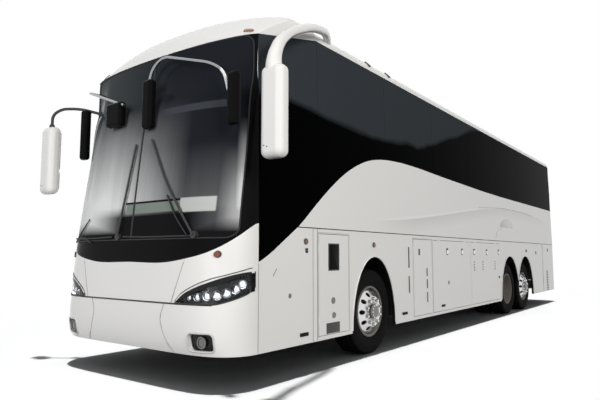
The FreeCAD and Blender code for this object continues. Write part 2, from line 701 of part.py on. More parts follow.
def front_parts():
    """Bumper, fascia, mask, windscreen and the lamps set into them."""
    shell = nose_shell(0.0, NOSE_WALL)
    above_bumper = box(-WIDTH, WIDTH, NOSE_Y - OVERRUN, SEAM_Y, BUMPER_TOP_Z, CAP_Z)
    mask_side = mask_space()
    pocket = pair(fog_pocket())
    bumper = shell.cut(above_bumper)
    bumper = bumper.cut(pair(split_gap(BUMPER_SPLIT_SHARES, SKIRT_Z, BUMPER_TOP_Z))).cut(pocket)
    fascia = shell.common(above_bumper).cut(mask_side)
    fascia = fascia.cut(pair(split_gap(FASCIA_SPLIT_SHARES, BUMPER_TOP_Z, MASK_LOW_Z + MASK_EDGE_RISE)))
    lamps = pair(lamp_space())
    fascia = fascia.cut(lamps)
    screen = nose_shell(0.0, GLASS).common(screen_space(0.0)).common(mask_side)
    mask = shell.common(mask_side).cut(screen).cut(screen_space(-SCREEN_RIM))
    post = nose_shell(GLASS, NOSE_WALL)
    post = post.common(box(-PILLAR / 2, PILLAR / 2, NOSE_Y, SEAM_Y, SCREEN_BASE_Z, SCREEN_TOP_Z))
    mask = mask.fuse(post).removeSplitter()
    screen = screen.cut(box(-DIVIDER / 2, DIVIDER / 2, NOSE_Y - OVERRUN, SEAM_Y, 0, CAP_Z))
    save("bumper", bumper)
    save("front_fascia", fascia)
    save("front_mask", mask)
    save("windscreen", screen)
    lens = nose_shell(0.0, LENS).common(lamps)
    save("headlamp_lenses", lens)
    back = nose_shell(NOSE_WALL - LENS, NOSE_WALL).common(lamps)
    side = nose_shell(LENS, NOSE_WALL).common(lamps).cut(pair(lamp_core()))
    housing = back.fuse(side)
    for across, up in BARREL_SHARES:
        x = HALF * across
        z = LAMP_LOW_Z + LAMP_HEIGHT * up
        y = nose_y(x, z)
        barrel = Part.makeCylinder(BARREL_R, NOSE_WALL * 2, V(x, y - NOSE_WALL, z), V(0, 1, 0))
        barrel = barrel.common(nose_shell(LENS * 2, NOSE_WALL)).common(lamp_space())
        housing = housing.fuse(pair(barrel))
    save("headlamps", housing)
    fog_y = nose_y(FOG_X, FOG_Z)
    fog = Part.makeCylinder(FOG_R, FOG_DEPTH, V(FOG_X, fog_y + NOSE_WALL - FOG_DEPTH / 2, FOG_Z), V(0, 1, 0))
    plate = nose_shell(NOSE_WALL - LENS, NOSE_WALL).common(fog_pocket())
    save("fog_lamps", pair(plate.fuse(fog).removeSplitter()))


def lamp_core():
    """Inside of the headlamp, a wall's thickness in from its outline."""
    points = [(HALF * s, LAMP_LOW_Z + LAMP_HEIGHT * r) for s, r in LAMP_SHARES]
    cx = sum(p[0] for p in points) / len(points)
    cz = sum(p[1] for p in points) / len(points)
    inner = [(cx + (x - cx) * LAMP_CORE_SHARE, cz + (z - cz) * LAMP_CORE_SHARE) for x, z in points]
    return front_prism(inner, NOSE_Y - OVERRUN, LAMP_REAR_Y - BARREL_WALL)


def cap():
    """Front cap: a shell over the windscreen and the first side windows."""
    shell = cap_block(0.0).cut(cap_block(ROOF_WALL)).common(cap_space())
    lip_z = CAP_Z - CAP_LIP_DROP
    above = [(CAP_REAR_Y - CAP_LIP_LENGTH, CAP_Z + SEAT_GAP), (CAP_REAR_Y, lip_z),
             (CAP_REAR_Y + OVERRUN, lip_z),
             (CAP_REAR_Y + OVERRUN, CAP_Z + OVERRUN), (CAP_REAR_Y - CAP_LIP_LENGTH, CAP_Z + OVERRUN)]
    shell = shell.cut(side_prism(above, -WIDTH, WIDTH))
    return shell.common(box(-WIDTH, WIDTH, NOSE_Y - OVERRUN, CAP_REAR_Y, 0, CAP_Z + OVERRUN))


def hatch_plan(half, z0, z1, y):
    """Square plan with rounded corners."""
    block = box(-half, half, y - half, y + half, z0, z1)
    edges = [e for e in block.Edges if abs(e.tangentAt(0).z) > PARALLEL_COSINE]
    return block.makeFillet(HATCH_CORNER, edges)


def roof():
    """Roof skin with its rounded tail and two hatch rims."""
    shell = roof_block(0.0).cut(roof_block(ROOF_WALL))
    for y in HATCH_Y:
        rim = hatch_plan(HATCH_HALF, ROOF_Z - ROOF_WALL, hatch_seat_z(), y)
        hole = hatch_plan(HATCH_HALF - HATCH_RIM, GLASS_TOP_Z, CAP_Z + OVERRUN, y)
        shell = shell.fuse(rim).cut(hole)
    return shell.removeSplitter()


def hatch_seat_z():
    """Top face of a hatch rim."""
    return CAP_Z - HATCH_LID - SEAT_GAP


def hatch(y):
    """Lid that rests on a hatch rim."""
    lid = hatch_plan(HATCH_HALF + HATCH_RIM / 2, CAP_Z - HATCH_LID, CAP_Z, y)
    edges = [e for e in lid.Edges if all(abs(v.Z - CAP_Z) < PIN_GAP for v in e.Vertexes)]
    return lid.makeChamfer(HATCH_LID / 2, edges)


def rear_parts():
    """Tail body, rear glass, engine door and rear lamps."""
    shell = tail_block(0.0).cut(tail_block(WALL)).common(
        box(-WIDTH, WIDTH, REAR_SEAM_Y, TAIL_Y + OVERRUN, 0, CAP_Z))
    line_z = wave_point(*WAVE_SHARES[-1], 0.0)[1]
    upper = box(-WIDTH, WIDTH, REAR_SEAM_Y, TAIL_Y + OVERRUN, line_z, CAP_Z)
    glass_sheet = tail_block(0.0).cut(tail_block(SKIN)).common(upper)
    window = box(-ENGINE_DOOR_HALF, ENGINE_DOOR_HALF, REAR_SEAM_Y, TAIL_Y + OVERRUN,
                 line_z + WINDOW_RIM, GLASS_TOP_Z - WINDOW_RIM)
    body = shell.cut(glass_sheet).cut(window)
    door_hole = box(-ENGINE_DOOR_HALF, ENGINE_DOOR_HALF, REAR_SEAM_Y, TAIL_Y + OVERRUN,
                    ENGINE_DOOR_LOW_Z, ENGINE_DOOR_HIGH_Z)
    lamp = front_prism([(REAR_LAMP_X - REAR_LAMP_HALF, REAR_LAMP_LOW_Z),
                        (REAR_LAMP_X + REAR_LAMP_HALF, REAR_LAMP_LOW_Z),
                        (REAR_LAMP_X + REAR_LAMP_HALF, REAR_LAMP_HIGH_Z),
                        (REAR_LAMP_X - REAR_LAMP_HALF, REAR_LAMP_HIGH_Z)],
                       REAR_SEAM_Y + TAIL_DEPTH / 2, TAIL_Y + OVERRUN)
    lamp_skin = tail_block(0.0).cut(tail_block(SKIN)).common(pair(lamp))
    body = body.cut(door_hole).cut(lamp_skin)
    save("rear_body", body)
    save("rear_glass", glass_sheet)
    save("rear_lamps", lamp_skin)
    gap = SHUT_GAP
    leaf = shell.common(box(-ENGINE_DOOR_HALF + gap, ENGINE_DOOR_HALF - gap, REAR_SEAM_Y, TAIL_Y + OVERRUN,
                            ENGINE_DOOR_LOW_Z + gap, ENGINE_DOOR_HIGH_Z - gap))
    slots = []
    for i in range(LOUVRE_COUNT):
        z = LOUVRE_LOW_Z + i * LOUVRE_PITCH
        slots.append(box(-LOUVRE_HALF, LOUVRE_HALF, REAR_SEAM_Y, TAIL_Y + OVERRUN, z,
                         z + LOUVRE_PITCH - LOUVRE_THICK))
    leaf = leaf.cut(slots)
    for x in (-ENGINE_DOOR_HALF / 2, ENGINE_DOOR_HALF / 2):
        y = tail_y(ENGINE_DOOR_HIGH_Z) - LUG_DEPTH - SKIN
        leaf = leaf.fuse(box(x - LUG / 2, x + LUG / 2, y, y + LUG_DEPTH, ENGINE_DOOR_HIGH_Z - gap,
                             ENGINE_DOOR_HIGH_Z - SEAT_GAP))
    save("engine_door", leaf)


def tail_y(z):
    """Outer face of the tail on the centre line at height z."""
    rise = (z - SKIRT_Z) / (GLASS_TOP_Z - SKIRT_Z)
    rows = TAIL_LEVEL_SHARES
    low, high = next((a, b) for a, b in zip(rows, rows[1:]) if a[0] <= rise <= b[0])
    part = (rise - low[0]) / (high[0] - low[0])
    return TAIL_Y - TAIL_DEPTH * between(low[1], high[1], part)


@lru_cache(None)
def underframe():
    """Two frame sides with arches over the axles, cross members and tow eyes."""
    front_y = SEAM_Y + TOW_PLATE_HALF
    rear_y = REAR_SEAM_Y
    bay_front = FRONT_Y + FRONT_HOUSE_HALF
    bay_rear = DRIVE_Y - REAR_HOUSE_HALF
    tail_front = TAG_Y + REAR_HOUSE_HALF
    riser_rear_y = PLATFORM_REAR_Y + FLOOR_THICK
    platform_low = PLATFORM_Z - FLOOR_THICK
    deck_low = FLOOR_Z - FLOOR_THICK
    points = [
        (front_y, RAIL_BOTTOM_Z), (bay_front - 2 * FRONT_HOUSE_HALF, RAIL_BOTTOM_Z),
        (bay_front - 2 * FRONT_HOUSE_HALF, FRAME_ARCH_Z), (bay_front, FRAME_ARCH_Z),
        (bay_front, BAY_BOTTOM_Z), (bay_rear, BAY_BOTTOM_Z), (bay_rear, FRAME_ARCH_Z),
        (tail_front, FRAME_ARCH_Z), (tail_front, RAIL_BOTTOM_Z), (rear_y, RAIL_BOTTOM_Z),
        (rear_y, RAIL_BOTTOM_Z + CROSS_DEPTH), (tail_front + CROSS_WIDTH, RAIL_BOTTOM_Z + CROSS_DEPTH),
        (tail_front + CROSS_WIDTH, deck_low), (riser_rear_y, deck_low), (riser_rear_y, platform_low),
        (front_y, platform_low),
    ]
    side = side_prism(points, RAIL_X - RAIL_WIDTH / 2, RAIL_X + RAIL_WIDTH / 2)
    bay_low = BAY_BOTTOM_Z + BAY_RAIL_DEPTH
    side = side.cut(box(0, HALF, bay_front + BULKHEAD, bay_rear - BULKHEAD, bay_low, deck_low + OVERRUN))
    sides = pair(side)
    reach = RAIL_X - RAIL_WIDTH / 2
    shapes = []
    for y, z in ((front_y, RAIL_BOTTOM_Z), (bay_front - 2 * FRONT_HOUSE_HALF - CROSS_WIDTH, RAIL_BOTTOM_Z),
                 (bay_front, BAY_BOTTOM_Z), (bay_rear - CROSS_WIDTH, BAY_BOTTOM_Z),
                 (FRONT_Y, FRAME_ARCH_Z + CROSS_DEPTH), (DRIVE_Y, FRAME_ARCH_Z + CROSS_DEPTH),
                 (TAG_Y, FRAME_ARCH_Z + CROSS_DEPTH), (tail_front, RAIL_BOTTOM_Z),
                 (rear_y - CROSS_WIDTH, RAIL_BOTTOM_Z)):
        shapes.append(box(-reach, reach, y, y + CROSS_WIDTH, z, z + BAY_RAIL_DEPTH))
    for y in (front_y + TOW_PLATE_HALF, rear_y - TOW_PLATE_HALF):
        for x in (-RAIL_X, RAIL_X):
            low_z = RAIL_BOTTOM_Z - TOW_PLATE_DROP
            plate = box(x - TOW_PLATE_THICK / 2, x + TOW_PLATE_THICK / 2, y - TOW_PLATE_HALF,
                        y + TOW_PLATE_HALF,
                        low_z, RAIL_BOTTOM_Z)
            eye = Part.makeCylinder(TOW_EYE_R, RAIL_WIDTH, V(x - RAIL_WIDTH / 2, y, low_z + TOW_EYE_RISE),
                                    V(1, 0, 0))
            shapes.append(plate.cut(eye))
    for y in (bay_front + PAD_SIDE, bay_rear - PAD_SIDE):
        for x in (-RAIL_X, RAIL_X):
            shapes.append(box(x - PAD_SIDE / 2, x + PAD_SIDE / 2, y - PAD_SIDE / 2, y + PAD_SIDE / 2,
                              BAY_BOTTOM_Z - PAD_THICK, BAY_BOTTOM_Z))
    return sides.fuse(shapes).removeSplitter()


def cabin_floor():
    """Passenger deck, driver's platform, riser, aisle step and entry stair."""
    half = HALF - WALL - SHUT_GAP
    low_z = PLATFORM_Z - FLOOR_THICK
    stair_y = ENTRY_DOOR_Y[1] + SHUT_GAP
    deck = box(-half, half, PLATFORM_REAR_Y, REAR_SEAM_Y, FLOOR_Z - FLOOR_THICK, FLOOR_Z)
    riser = box(-half, half, PLATFORM_REAR_Y, PLATFORM_REAR_Y + FLOOR_THICK, low_z, FLOOR_Z)
    platform = box(STAIR_X, half, SEAM_Y, PLATFORM_REAR_Y, low_z, PLATFORM_Z)
    ledge = box(-half, STAIR_X, stair_y, PLATFORM_REAR_Y, low_z, PLATFORM_Z)
    end_wall = box(-half, STAIR_X, stair_y, stair_y + FLOOR_THICK, STEP_TOP_Z - FLOOR_THICK, low_z)
    tread = (STAIR_X + half) / STEP_COUNT
    rise = (PLATFORM_Z - STEP_TOP_Z) / STEP_COUNT
    top = []
    for i in range(STEP_COUNT):
        top += [(-half + i * tread, STEP_TOP_Z + i * rise), (-half + (i + 1) * tread, STEP_TOP_Z + i * rise)]
    top.append((STAIR_X, PLATFORM_Z))
    under = [(x + STAIR_PLATE, z - STAIR_PLATE) for x, z in reversed(top)]
    stair = front_prism(top + under, SEAM_Y, stair_y + FLOOR_THICK)
    step = box(-AISLE_STEP_HALF, AISLE_STEP_HALF, PLATFORM_REAR_Y - AISLE_STEP_DEPTH, PLATFORM_REAR_Y,
               PLATFORM_Z, (PLATFORM_Z + FLOOR_Z) / 2)
    return fused([deck, riser, platform, ledge, end_wall, stair, step])


def wheelhouses():
    """Boxes round the wheels, open to the side and below."""
    shapes = []
    half = HALF - WALL
    for y0, y1, inner in ((FRONT_Y - FRONT_HOUSE_HALF, FRONT_Y + FRONT_HOUSE_HALF, HOUSE_INNER_X),
                          (DRIVE_Y - REAR_HOUSE_HALF, TAG_Y + REAR_HOUSE_HALF, REAR_HOUSE_INNER_X)):
        outer = box(inner - HOUSE_WALL, half, y0 - HOUSE_WALL, y1 + HOUSE_WALL, HOUSE_LOW_Z,
                    HOUSE_TOP_Z + HOUSE_WALL)
        hollow = box(inner, half + OVERRUN, y0, y1, 0, HOUSE_TOP_Z)
        shapes.append(outer.cut(hollow))
    return pair(Part.makeCompound(shapes))


def luggage_bays():
    """Bulkheads across the coach and the floor between them."""
    half = HALF - WALL - SHUT_GAP
    bay_front = FRONT_Y + FRONT_HOUSE_HALF + HOUSE_WALL
    bay_rear = DRIVE_Y - REAR_HOUSE_HALF - HOUSE_WALL
    low_z = BAY_BOTTOM_Z + BAY_RAIL_DEPTH
    top_z = FLOOR_Z - FLOOR_THICK
    frame = underframe()
    shapes = [box(-half, half, bay_front, bay_rear, low_z, low_z + BAY_FLOOR_THICK)]
    for y in (bay_front, BAY_SPLIT_Y - BULKHEAD / 2, bay_rear - BULKHEAD):
        shapes.append(box(-half, half, y, y + BULKHEAD, low_z + BAY_FLOOR_THICK, top_z))
    return fused(shapes).cut(frame)


def dash():
    """Dashboard with the instrument hood and the steering column."""
    rear_y = STEER_Y - DASH_GAP
    half = HALF - WALL - SEAT_GAP
    body = side_prism(dash_points(rear_y), STAIR_X, half)
    body = body.fuse(side_prism(dash_points(CO_DASH_REAR_Y), -half, STAIR_X))
    behind = box(-half, half, SEAM_Y, PLATFORM_REAR_Y, 0, CAP_Z)
    ahead = nose_block(NOSE_WALL + SEAT_GAP).cut(behind)
    hood_y = rear_y - DASH_FOOT - DASH_ROUND
    hood = Part.makeCylinder(STEER_R, DASH_FOOT, V(STEER_X, hood_y, DASH_TOP_Z - DASH_ROUND), V(0, 1, 0))
    tilt = math.radians(STEER_TILT)
    along = V(0, math.cos(tilt), math.sin(tilt))
    end = V(STEER_X, STEER_Y, STEER_Z) - along * (STEER_HUB_R + SEAT_GAP)
    column = Part.makeCylinder(COLUMN_R, COLUMN_LENGTH, end - along * COLUMN_LENGTH, along)
    return body.common(ahead).fuse([body.common(behind), hood, column]).removeSplitter()


def dash_points(rear_y):
    """Side view of the dashboard, from the windscreen to its rear face."""
    return [(NOSE_Y, PLATFORM_Z), (NOSE_Y, DASH_TOP_Z - DASH_ROUND),
            (NOSE_Y + NOSE_DEPTH * DASH_RISE_SHARE, DASH_TOP_Z),
            (rear_y - DASH_ROUND, DASH_TOP_Z), (rear_y, DASH_TOP_Z - DASH_ROUND),
            (rear_y - DASH_FOOT / 2, PLATFORM_Z)]


def steering_wheel():
    """Rim, hub and spokes on the column's axis."""
    ring = []
    for i in range(RIM_SIDES + 1):
        a = 2.0 * math.pi * i / RIM_SIDES
        ring.append(V(STEER_R + STEER_TUBE_R * math.cos(a), 0, STEER_TUBE_R * math.sin(a)))
    rim = face_of(polyline(ring)).revolve(V(0, 0, 0), V(0, 0, 1), 360)
    shapes = [Part.makeCylinder(STEER_HUB_R, STEER_HUB_R, V(0, 0, -STEER_HUB_R))]
    for i in range(SPOKES):
        spoke = box(0, STEER_R, -SPOKE_HALF, SPOKE_HALF, -SPOKE_THICK, 0)
        spoke.rotate(V(0, 0, 0), V(0, 0, 1), 360.0 * i / SPOKES + FIRST_SPOKE_TURN)
        shapes.append(spoke)
    wheel = rim.fuse(shapes).removeSplitter()
    wheel.rotate(V(0, 0, 0), V(1, 0, 0), STEER_TILT - UPRIGHT_TURN)
    wheel.translate(V(STEER_X, STEER_Y, STEER_Z))
    return wheel


def seat_profile(y, x0, x1, floor_z):
    """One seat from the side, extruded across its width: faces the nose."""
    top_z = floor_z + SEAT_BASE_Z
    back_y = y + SEAT_DEPTH
    points = [
        (y, top_z - SEAT_CUSHION), (y, top_z), (back_y - SEAT_BACK_THICK, top_z - SEAT_CUSHION / 4),
        (back_y + SEAT_RECLINE - SEAT_BACK_THICK, top_z + SEAT_BACK),
        (back_y + SEAT_RECLINE, top_z + SEAT_BACK),
        (back_y + SEAT_CUSHION / 4, top_z - SEAT_CUSHION), (back_y - SEAT_LEG, top_z - SEAT_CUSHION),
        (back_y - SEAT_LEG, floor_z), (y + SEAT_LEG * 2, floor_z), (y + SEAT_LEG * 2, top_z - SEAT_CUSHION),
    ]
    return side_prism(points, x0, x1)


def passenger_seats():
    """Rows of double seats on both sides of the aisle."""
    rows = []
    for i in range(SEAT_ROWS):
        y = SEAT_FIRST_Y + i * SEAT_PITCH
        rows.append(seat_profile(y, SEAT_INNER_X, SEAT_INNER_X + SEAT_WIDTH, FLOOR_Z))
    return pair(Part.makeCompound(rows))


def revolve_x(points, x, y):
    """Profile of (out, radius) points turned round a wheel's axis at road height."""
    ring = [V(x + out, y, TYRE_R + r) for out, r in points]
    return face_of(polyline(ring + ring[:1])).revolve(V(x, y, TYRE_R), V(1, 0, 0), 360)


def axle_cylinder(radius, x0, x1, y):
    """Cylinder on a wheel's axis between two places across the coach."""
    return Part.makeCylinder(radius, x1 - x0, V(x0, y, TYRE_R), V(1, 0, 0))


def tyre(x, y):
    """Tyre with rounded shoulders and bulging sides."""
    half = TYRE_WIDTH / 2
    bead = RIM_WIDTH / 2 - SEAT_GAP
    right = [(bead, BEAD_R + SEAT_GAP), (bead, RIM_R + SEAT_GAP)]
    right += [(half * w, TYRE_R * r) for w, r in TYRE_SIDE_SHARES]
    left = [(-out, r) for out, r in reversed(right)]
    return revolve_x(right + left, x, y)


def rim(x, y, side):
    """Rim barrel and dished disc with hand holes; the dish faces side * X."""
    half = RIM_WIDTH / 2
    t = RIM_THICK
    barrel = [(-half, BEAD_R), (half, BEAD_R), (half, RIM_R), (half + t, RIM_R), (half + t, BEAD_R - t),
              (-half - t, BEAD_R - t), (-half - t, RIM_R), (-half, RIM_R)]
    face = TWIN_SPACING / 2
    outer = [(side * face * a, BEAD_R * r) for a, r in DISC_SHARES]
    inner = [(out - side * DISC_THICK, r) for out, r in outer]
    centre = [(side * face, 0.0), (side * (face - DISC_THICK), 0.0)]
    body = revolve_x(barrel, x, y).fuse(revolve_x(outer + centre + inner[::-1], x, y))
    low_x = x + side * face * DISC_SHARES[0][0] - OVERRUN * (side + 1) / 2
    holes = []
    for i in range(HAND_HOLES):
        turn = 2.0 * math.pi * i / HAND_HOLES
        start = V(low_x, y + HAND_HOLE_RING_R * math.cos(turn), TYRE_R + HAND_HOLE_RING_R * math.sin(turn))
        if side < 0:
            start.x = x - face
        holes.append(Part.makeCylinder(HAND_HOLE_R, face, start, V(1, 0, 0)))
    return body.cut(holes)


def single_wheel(y):
    """Rim, hub and hub nose of a front or tag wheel on the +X side."""
    face_x = WHEEL_X + TWIN_SPACING / 2
    back_x = face_x - DISC_THICK
    hub = axle_cylinder(HUB_R, back_x - HUB_LENGTH, back_x, y)
    nose = axle_cylinder(HUB_NOSE_R, face_x, face_x + HUB_NOSE, y)
    nose = nose.makeChamfer(HUB_NOSE / 3, [e for e in nose.Edges if e.BoundBox.XMin > face_x + HUB_NOSE / 2])
    bore = axle_cylinder(SPINDLE_R + PIN_GAP, back_x - HUB_LENGTH - OVERRUN, back_x - DISC_THICK, y)
    return rim(WHEEL_X, y, 1).fuse([hub, nose]).cut(bore).removeSplitter()


def twin_wheel(y):
    """Two rims face to face on one hub, on the +X side."""
    inner_x = WHEEL_X - TWIN_SPACING
    mid_x = WHEEL_X - TWIN_SPACING / 2
    hub = axle_cylinder(HUB_R, mid_x - TWIN_HUB_LENGTH, mid_x, y)
    nose = axle_cylinder(HUB_NOSE_R, mid_x, mid_x + TWIN_NOSE, y)
    nose = nose.makeChamfer(HUB_NOSE / 3, [e for e in nose.Edges if e.BoundBox.XMin > mid_x + HUB_NOSE])
    bore = axle_cylinder(SPINDLE_R + PIN_GAP, mid_x - TWIN_HUB_LENGTH - OVERRUN, mid_x - DISC_THICK, y)
    return rim(inner_x, y, 1).fuse([rim(WHEEL_X, y, -1), hub, nose]).cut(bore).removeSplitter()


def front_beam():
    """Front axle beam with a bored fist at each end and two air springs."""
    top_z = TYRE_R
    drop = BEAM_DROP
    points = [(-KINGPIN_X, top_z - drop), (-RAIL_X - SPRING_R * 2, top_z - drop),
              (-RAIL_X - SPRING_R, top_z - 2 * drop),
              (RAIL_X + SPRING_R, top_z - 2 * drop), (RAIL_X + SPRING_R * 2, top_z - drop),
              (KINGPIN_X, top_z - drop),
              (KINGPIN_X, top_z + drop), (RAIL_X + SPRING_R * 2, top_z + drop), (RAIL_X + SPRING_R, top_z),
              (-RAIL_X - SPRING_R, top_z), (-RAIL_X - SPRING_R * 2, top_z + drop), (-KINGPIN_X, top_z + drop)]
    beam = front_prism(points, FRONT_Y - BEAM_HALF_WIDTH, FRONT_Y + BEAM_HALF_WIDTH)
    fist = Part.makeCylinder(FIST_R, 2 * FIST_HALF, V(KINGPIN_X, FRONT_Y, TYRE_R - FIST_HALF))
    bore = Part.makeCylinder(KINGPIN_R + PIN_GAP, 4 * FIST_HALF,
                             V(KINGPIN_X, FRONT_Y, TYRE_R - 2 * FIST_HALF))
    return beam.fuse([pair(fist), air_springs(FRONT_Y, top_z)]).cut(pair(bore)).removeSplitter()


def air_springs(y, low_z):
    """Air springs between an axle and the frame sides above it."""
    spring = Part.makeCylinder(SPRING_R, FRAME_ARCH_Z - low_z, V(SPRING_X, y, low_z))
    return pair(spring)


def rear_axle(y, tube_r, spindle_from, spindle_to):
    """Tube with a spindle at each end and two air springs."""
    tube = axle_cylinder(tube_r, -spindle_from, spindle_from, y)
    spindle = axle_cylinder(SPINDLE_R, -spindle_to, spindle_to, y)
    return tube.fuse([spindle, air_springs(y, TYRE_R)])


def axles():
    """Front beam, drive axle with its bowl, and tag axle."""
    mid_x = WHEEL_X - TWIN_SPACING / 2
    drive_end = mid_x - TWIN_HUB_LENGTH - DISC_THICK
    drive = rear_axle(DRIVE_Y, DRIVE_TUBE_R, drive_end, mid_x - 2 * DISC_THICK)
    bowl = axle_cylinder(DRIVE_BOWL_R, -DRIVE_BOWL_LENGTH / 2, DRIVE_BOWL_LENGTH / 2, DRIVE_Y)
    bowl = bowl.makeChamfer(DRIVE_BOWL_LENGTH / 4, [e for e in bowl.Edges if len(e.Vertexes) == 1])
    face_x = WHEEL_X + TWIN_SPACING / 2
    tag_end = face_x - DISC_THICK - HUB_LENGTH - DISC_THICK
    tag = rear_axle(TAG_Y, DRIVE_TUBE_R, tag_end, face_x - 3 * DISC_THICK)
    return Part.makeCompound([front_beam(), drive.fuse(bowl).removeSplitter(), tag.removeSplitter()])


def knuckle():
    """Steering yoke round the fist, its kingpin and the wheel spindle."""
    gap = PIN_GAP * 2
    inner_z = FIST_HALF + gap
    back_x = KINGPIN_X + FIST_R + YOKE_GAP
    yoke = box(KINGPIN_X - FIST_R, back_x + YOKE_BACK, FRONT_Y - FIST_R, FRONT_Y + FIST_R,
               TYRE_R - inner_z - YOKE, TYRE_R + inner_z + YOKE)
    slot = box(KINGPIN_X - 2 * FIST_R, back_x, FRONT_Y - WIDTH, FRONT_Y + WIDTH, TYRE_R - inner_z,
               TYRE_R + inner_z)
    pin = Part.makeCylinder(KINGPIN_R, 2 * inner_z, V(KINGPIN_X, FRONT_Y, TYRE_R - inner_z))
    face_x = WHEEL_X + TWIN_SPACING / 2
    spindle = axle_cylinder(SPINDLE_R, back_x, face_x - 3 * DISC_THICK, FRONT_Y)
    return yoke.cut(slot).fuse([pin, spindle]).removeSplitter()


def bent_tube(points, radius):
    """Round tube along straight runs joined by tangent arcs."""
    edges = []
    start = points[0]
    for before, corner, after in zip(points, points[1:], points[2:]):
        back = (before - corner).normalize()
        ahead = (after - corner).normalize()
        length = min((before - corner).Length, (after - corner).Length) * BEND_SHARE
        a = corner + back * length
        b = corner + ahead * length
        half_turn = (math.pi - back.getAngle(ahead)) / 2
        arc_r = length / math.tan(half_turn)
        mid = corner + (back + ahead).normalize() * (math.sqrt(length ** 2 + arc_r ** 2) - arc_r)
        edges.append(Part.LineSegment(start, a).toShape())
        edges.append(Part.Arc(a, mid, b).toShape())
        start = b
    edges.append(Part.LineSegment(start, points[-1]).toShape())
    path = Part.Wire(edges)
    ring = Part.Wire(Part.makeCircle(radius, points[0], points[1] - points[0]))
    return path.makePipeShell([ring], True, True)


def place(across, back, rise):
    """Point from shares of the half width, the nose depth and the height."""
    return V(HALF * across, NOSE_Y + NOSE_DEPTH * back, CAP_Z * rise)


def mirror_head(x, y, z):
    """Rounded mirror housing."""
    block = box(x - MIRROR_WIDTH / 2, x + MIRROR_WIDTH / 2, y - MIRROR_DEPTH / 2, y + MIRROR_DEPTH / 2,
                z - MIRROR_HEIGHT / 2, z + MIRROR_HEIGHT / 2)
    return block.makeFillet(MIRROR_CORNER, block.Edges)


def mirrors():
    """Heads, arms and the mirrors that hang ahead of the windscreen."""
    left_top = V(MIRROR_X, LEFT_MIRROR_Y, LEFT_MIRROR_Z + MIRROR_HEIGHT / 2)
    right_top = V(-MIRROR_X, RIGHT_MIRROR_Y, RIGHT_MIRROR_Z + MIRROR_HEIGHT / 2)
    left_head = mirror_head(MIRROR_X, LEFT_MIRROR_Y, LEFT_MIRROR_Z)
    right_head = mirror_head(-MIRROR_X, RIGHT_MIRROR_Y, RIGHT_MIRROR_Z)
    route = [place(*p) for p in LEFT_ARM_SHARES] + [left_top - V(0, 0, MIRROR_CORNER)]
    below = box(-wall_x(GLASS_TOP_Z), wall_x(GLASS_TOP_Z), CAP_REAR_Y, TAIL_CAP_Y, BELT_Z, GLASS_TOP_Z)
    arm = bent_tube(route, LEFT_ARM_R).cut([roof_block(0.0), below])
    save("mirror_heads", Part.makeCompound([left_head.fuse(arm).removeSplitter(), right_head]))
    right = bent_tube([right_top] + [place(*p) for p in RIGHT_ARM_SHARES], ARM_R)
    arms = [right.cut(right_head).cut(nose_block(0.0))]
    loop = bent_tube([place(*p) for p in LOOP_SHARES], LOOP_R)
    bar = bent_tube([place(*p) for p in BAR_SHARES], LOOP_R)
    arms += [loop.cut(nose_block(0.0)), bar.cut(nose_block(0.0))]
    save("mirror_arms", Part.makeCompound(arms))
    pods = []
    for across, back, rise, wide, high in SCREEN_MIRROR_SHARES:
        p = place(across, back, rise)
        half = MIRROR_WIDTH * wide
        half_z = MIRROR_HEIGHT * high
        pod = box(p.x - half, p.x + half, p.y - POD_HALF, p.y + POD_HALF, p.z - half_z, p.z + half_z)
        pods.append(pod.makeFillet(POD_ROUND, pod.Edges).cut(arms))
    save("screen_mirrors", Part.makeCompound(pods))


def wipers():
    """Two wiper arms, their blades and spindles."""
    shapes = []
    for points in WIPER_SHARES:
        places = [(HALF * across, between(SCREEN_BASE_Z, SCREEN_TOP_Z, up)) for across, up in points]
        route = [V(x, nose_y(x, z) - WIPER_LIFT, z) for x, z in places]
        foot = Part.makeCylinder(FOOT_R, WIPER_LIFT * 2, route[0], V(0, 1, 0))
        blade = bent_tube(route, WIPER_R)
        shapes.append(foot.fuse(blade).cut(nose_block(0.0)).removeSplitter())
    return Part.makeCompound(shapes)


def side_marker(shares):
    """Round amber lamp on the +X side."""
    y, z = wave_point(*shares, 0.0)
    return Part.makeCylinder(MARKER_R, MARKER_THICK, V(HALF, y, z), V(1, 0, 0))


def side_reflector(shares):
    """Long reflector on the +X side."""
    y, z = wave_point(*shares, 0.0)
    return box(HALF, HALF + MARKER_THICK, y - REFLECTOR_LENGTH / 2, y + REFLECTOR_LENGTH / 2,
               z - REFLECTOR_HEIGHT / 2, z + REFLECTOR_HEIGHT / 2)


def marker_lamps():
    """Small amber lamps and reflectors on both sides and the nose."""
    both = [side_marker(shares) for shares in SIDE_MARKER_SHARES] + [side_reflector(SIDE_REFLECTOR_SHARES)]
    nose = nose_y(MARKER_FRONT_X, MARKER_FRONT_Z)
    front = Part.makeCylinder(MARKER_R, NOSE_WALL * 3, V(MARKER_FRONT_X, nose - NOSE_WALL, MARKER_FRONT_Z),
                              V(0, 1, 0))
    skin = nose_block(-MARKER_THICK).cut(nose_block(0.0))
    both.append(front.common(skin))
    left = [side_marker(FRONT_MARKER_SHARES), side_reflector(FRONT_REFLECTOR_SHARES)]
    return Part.makeCompound(both + [mirrored(s) for s in both] + left)


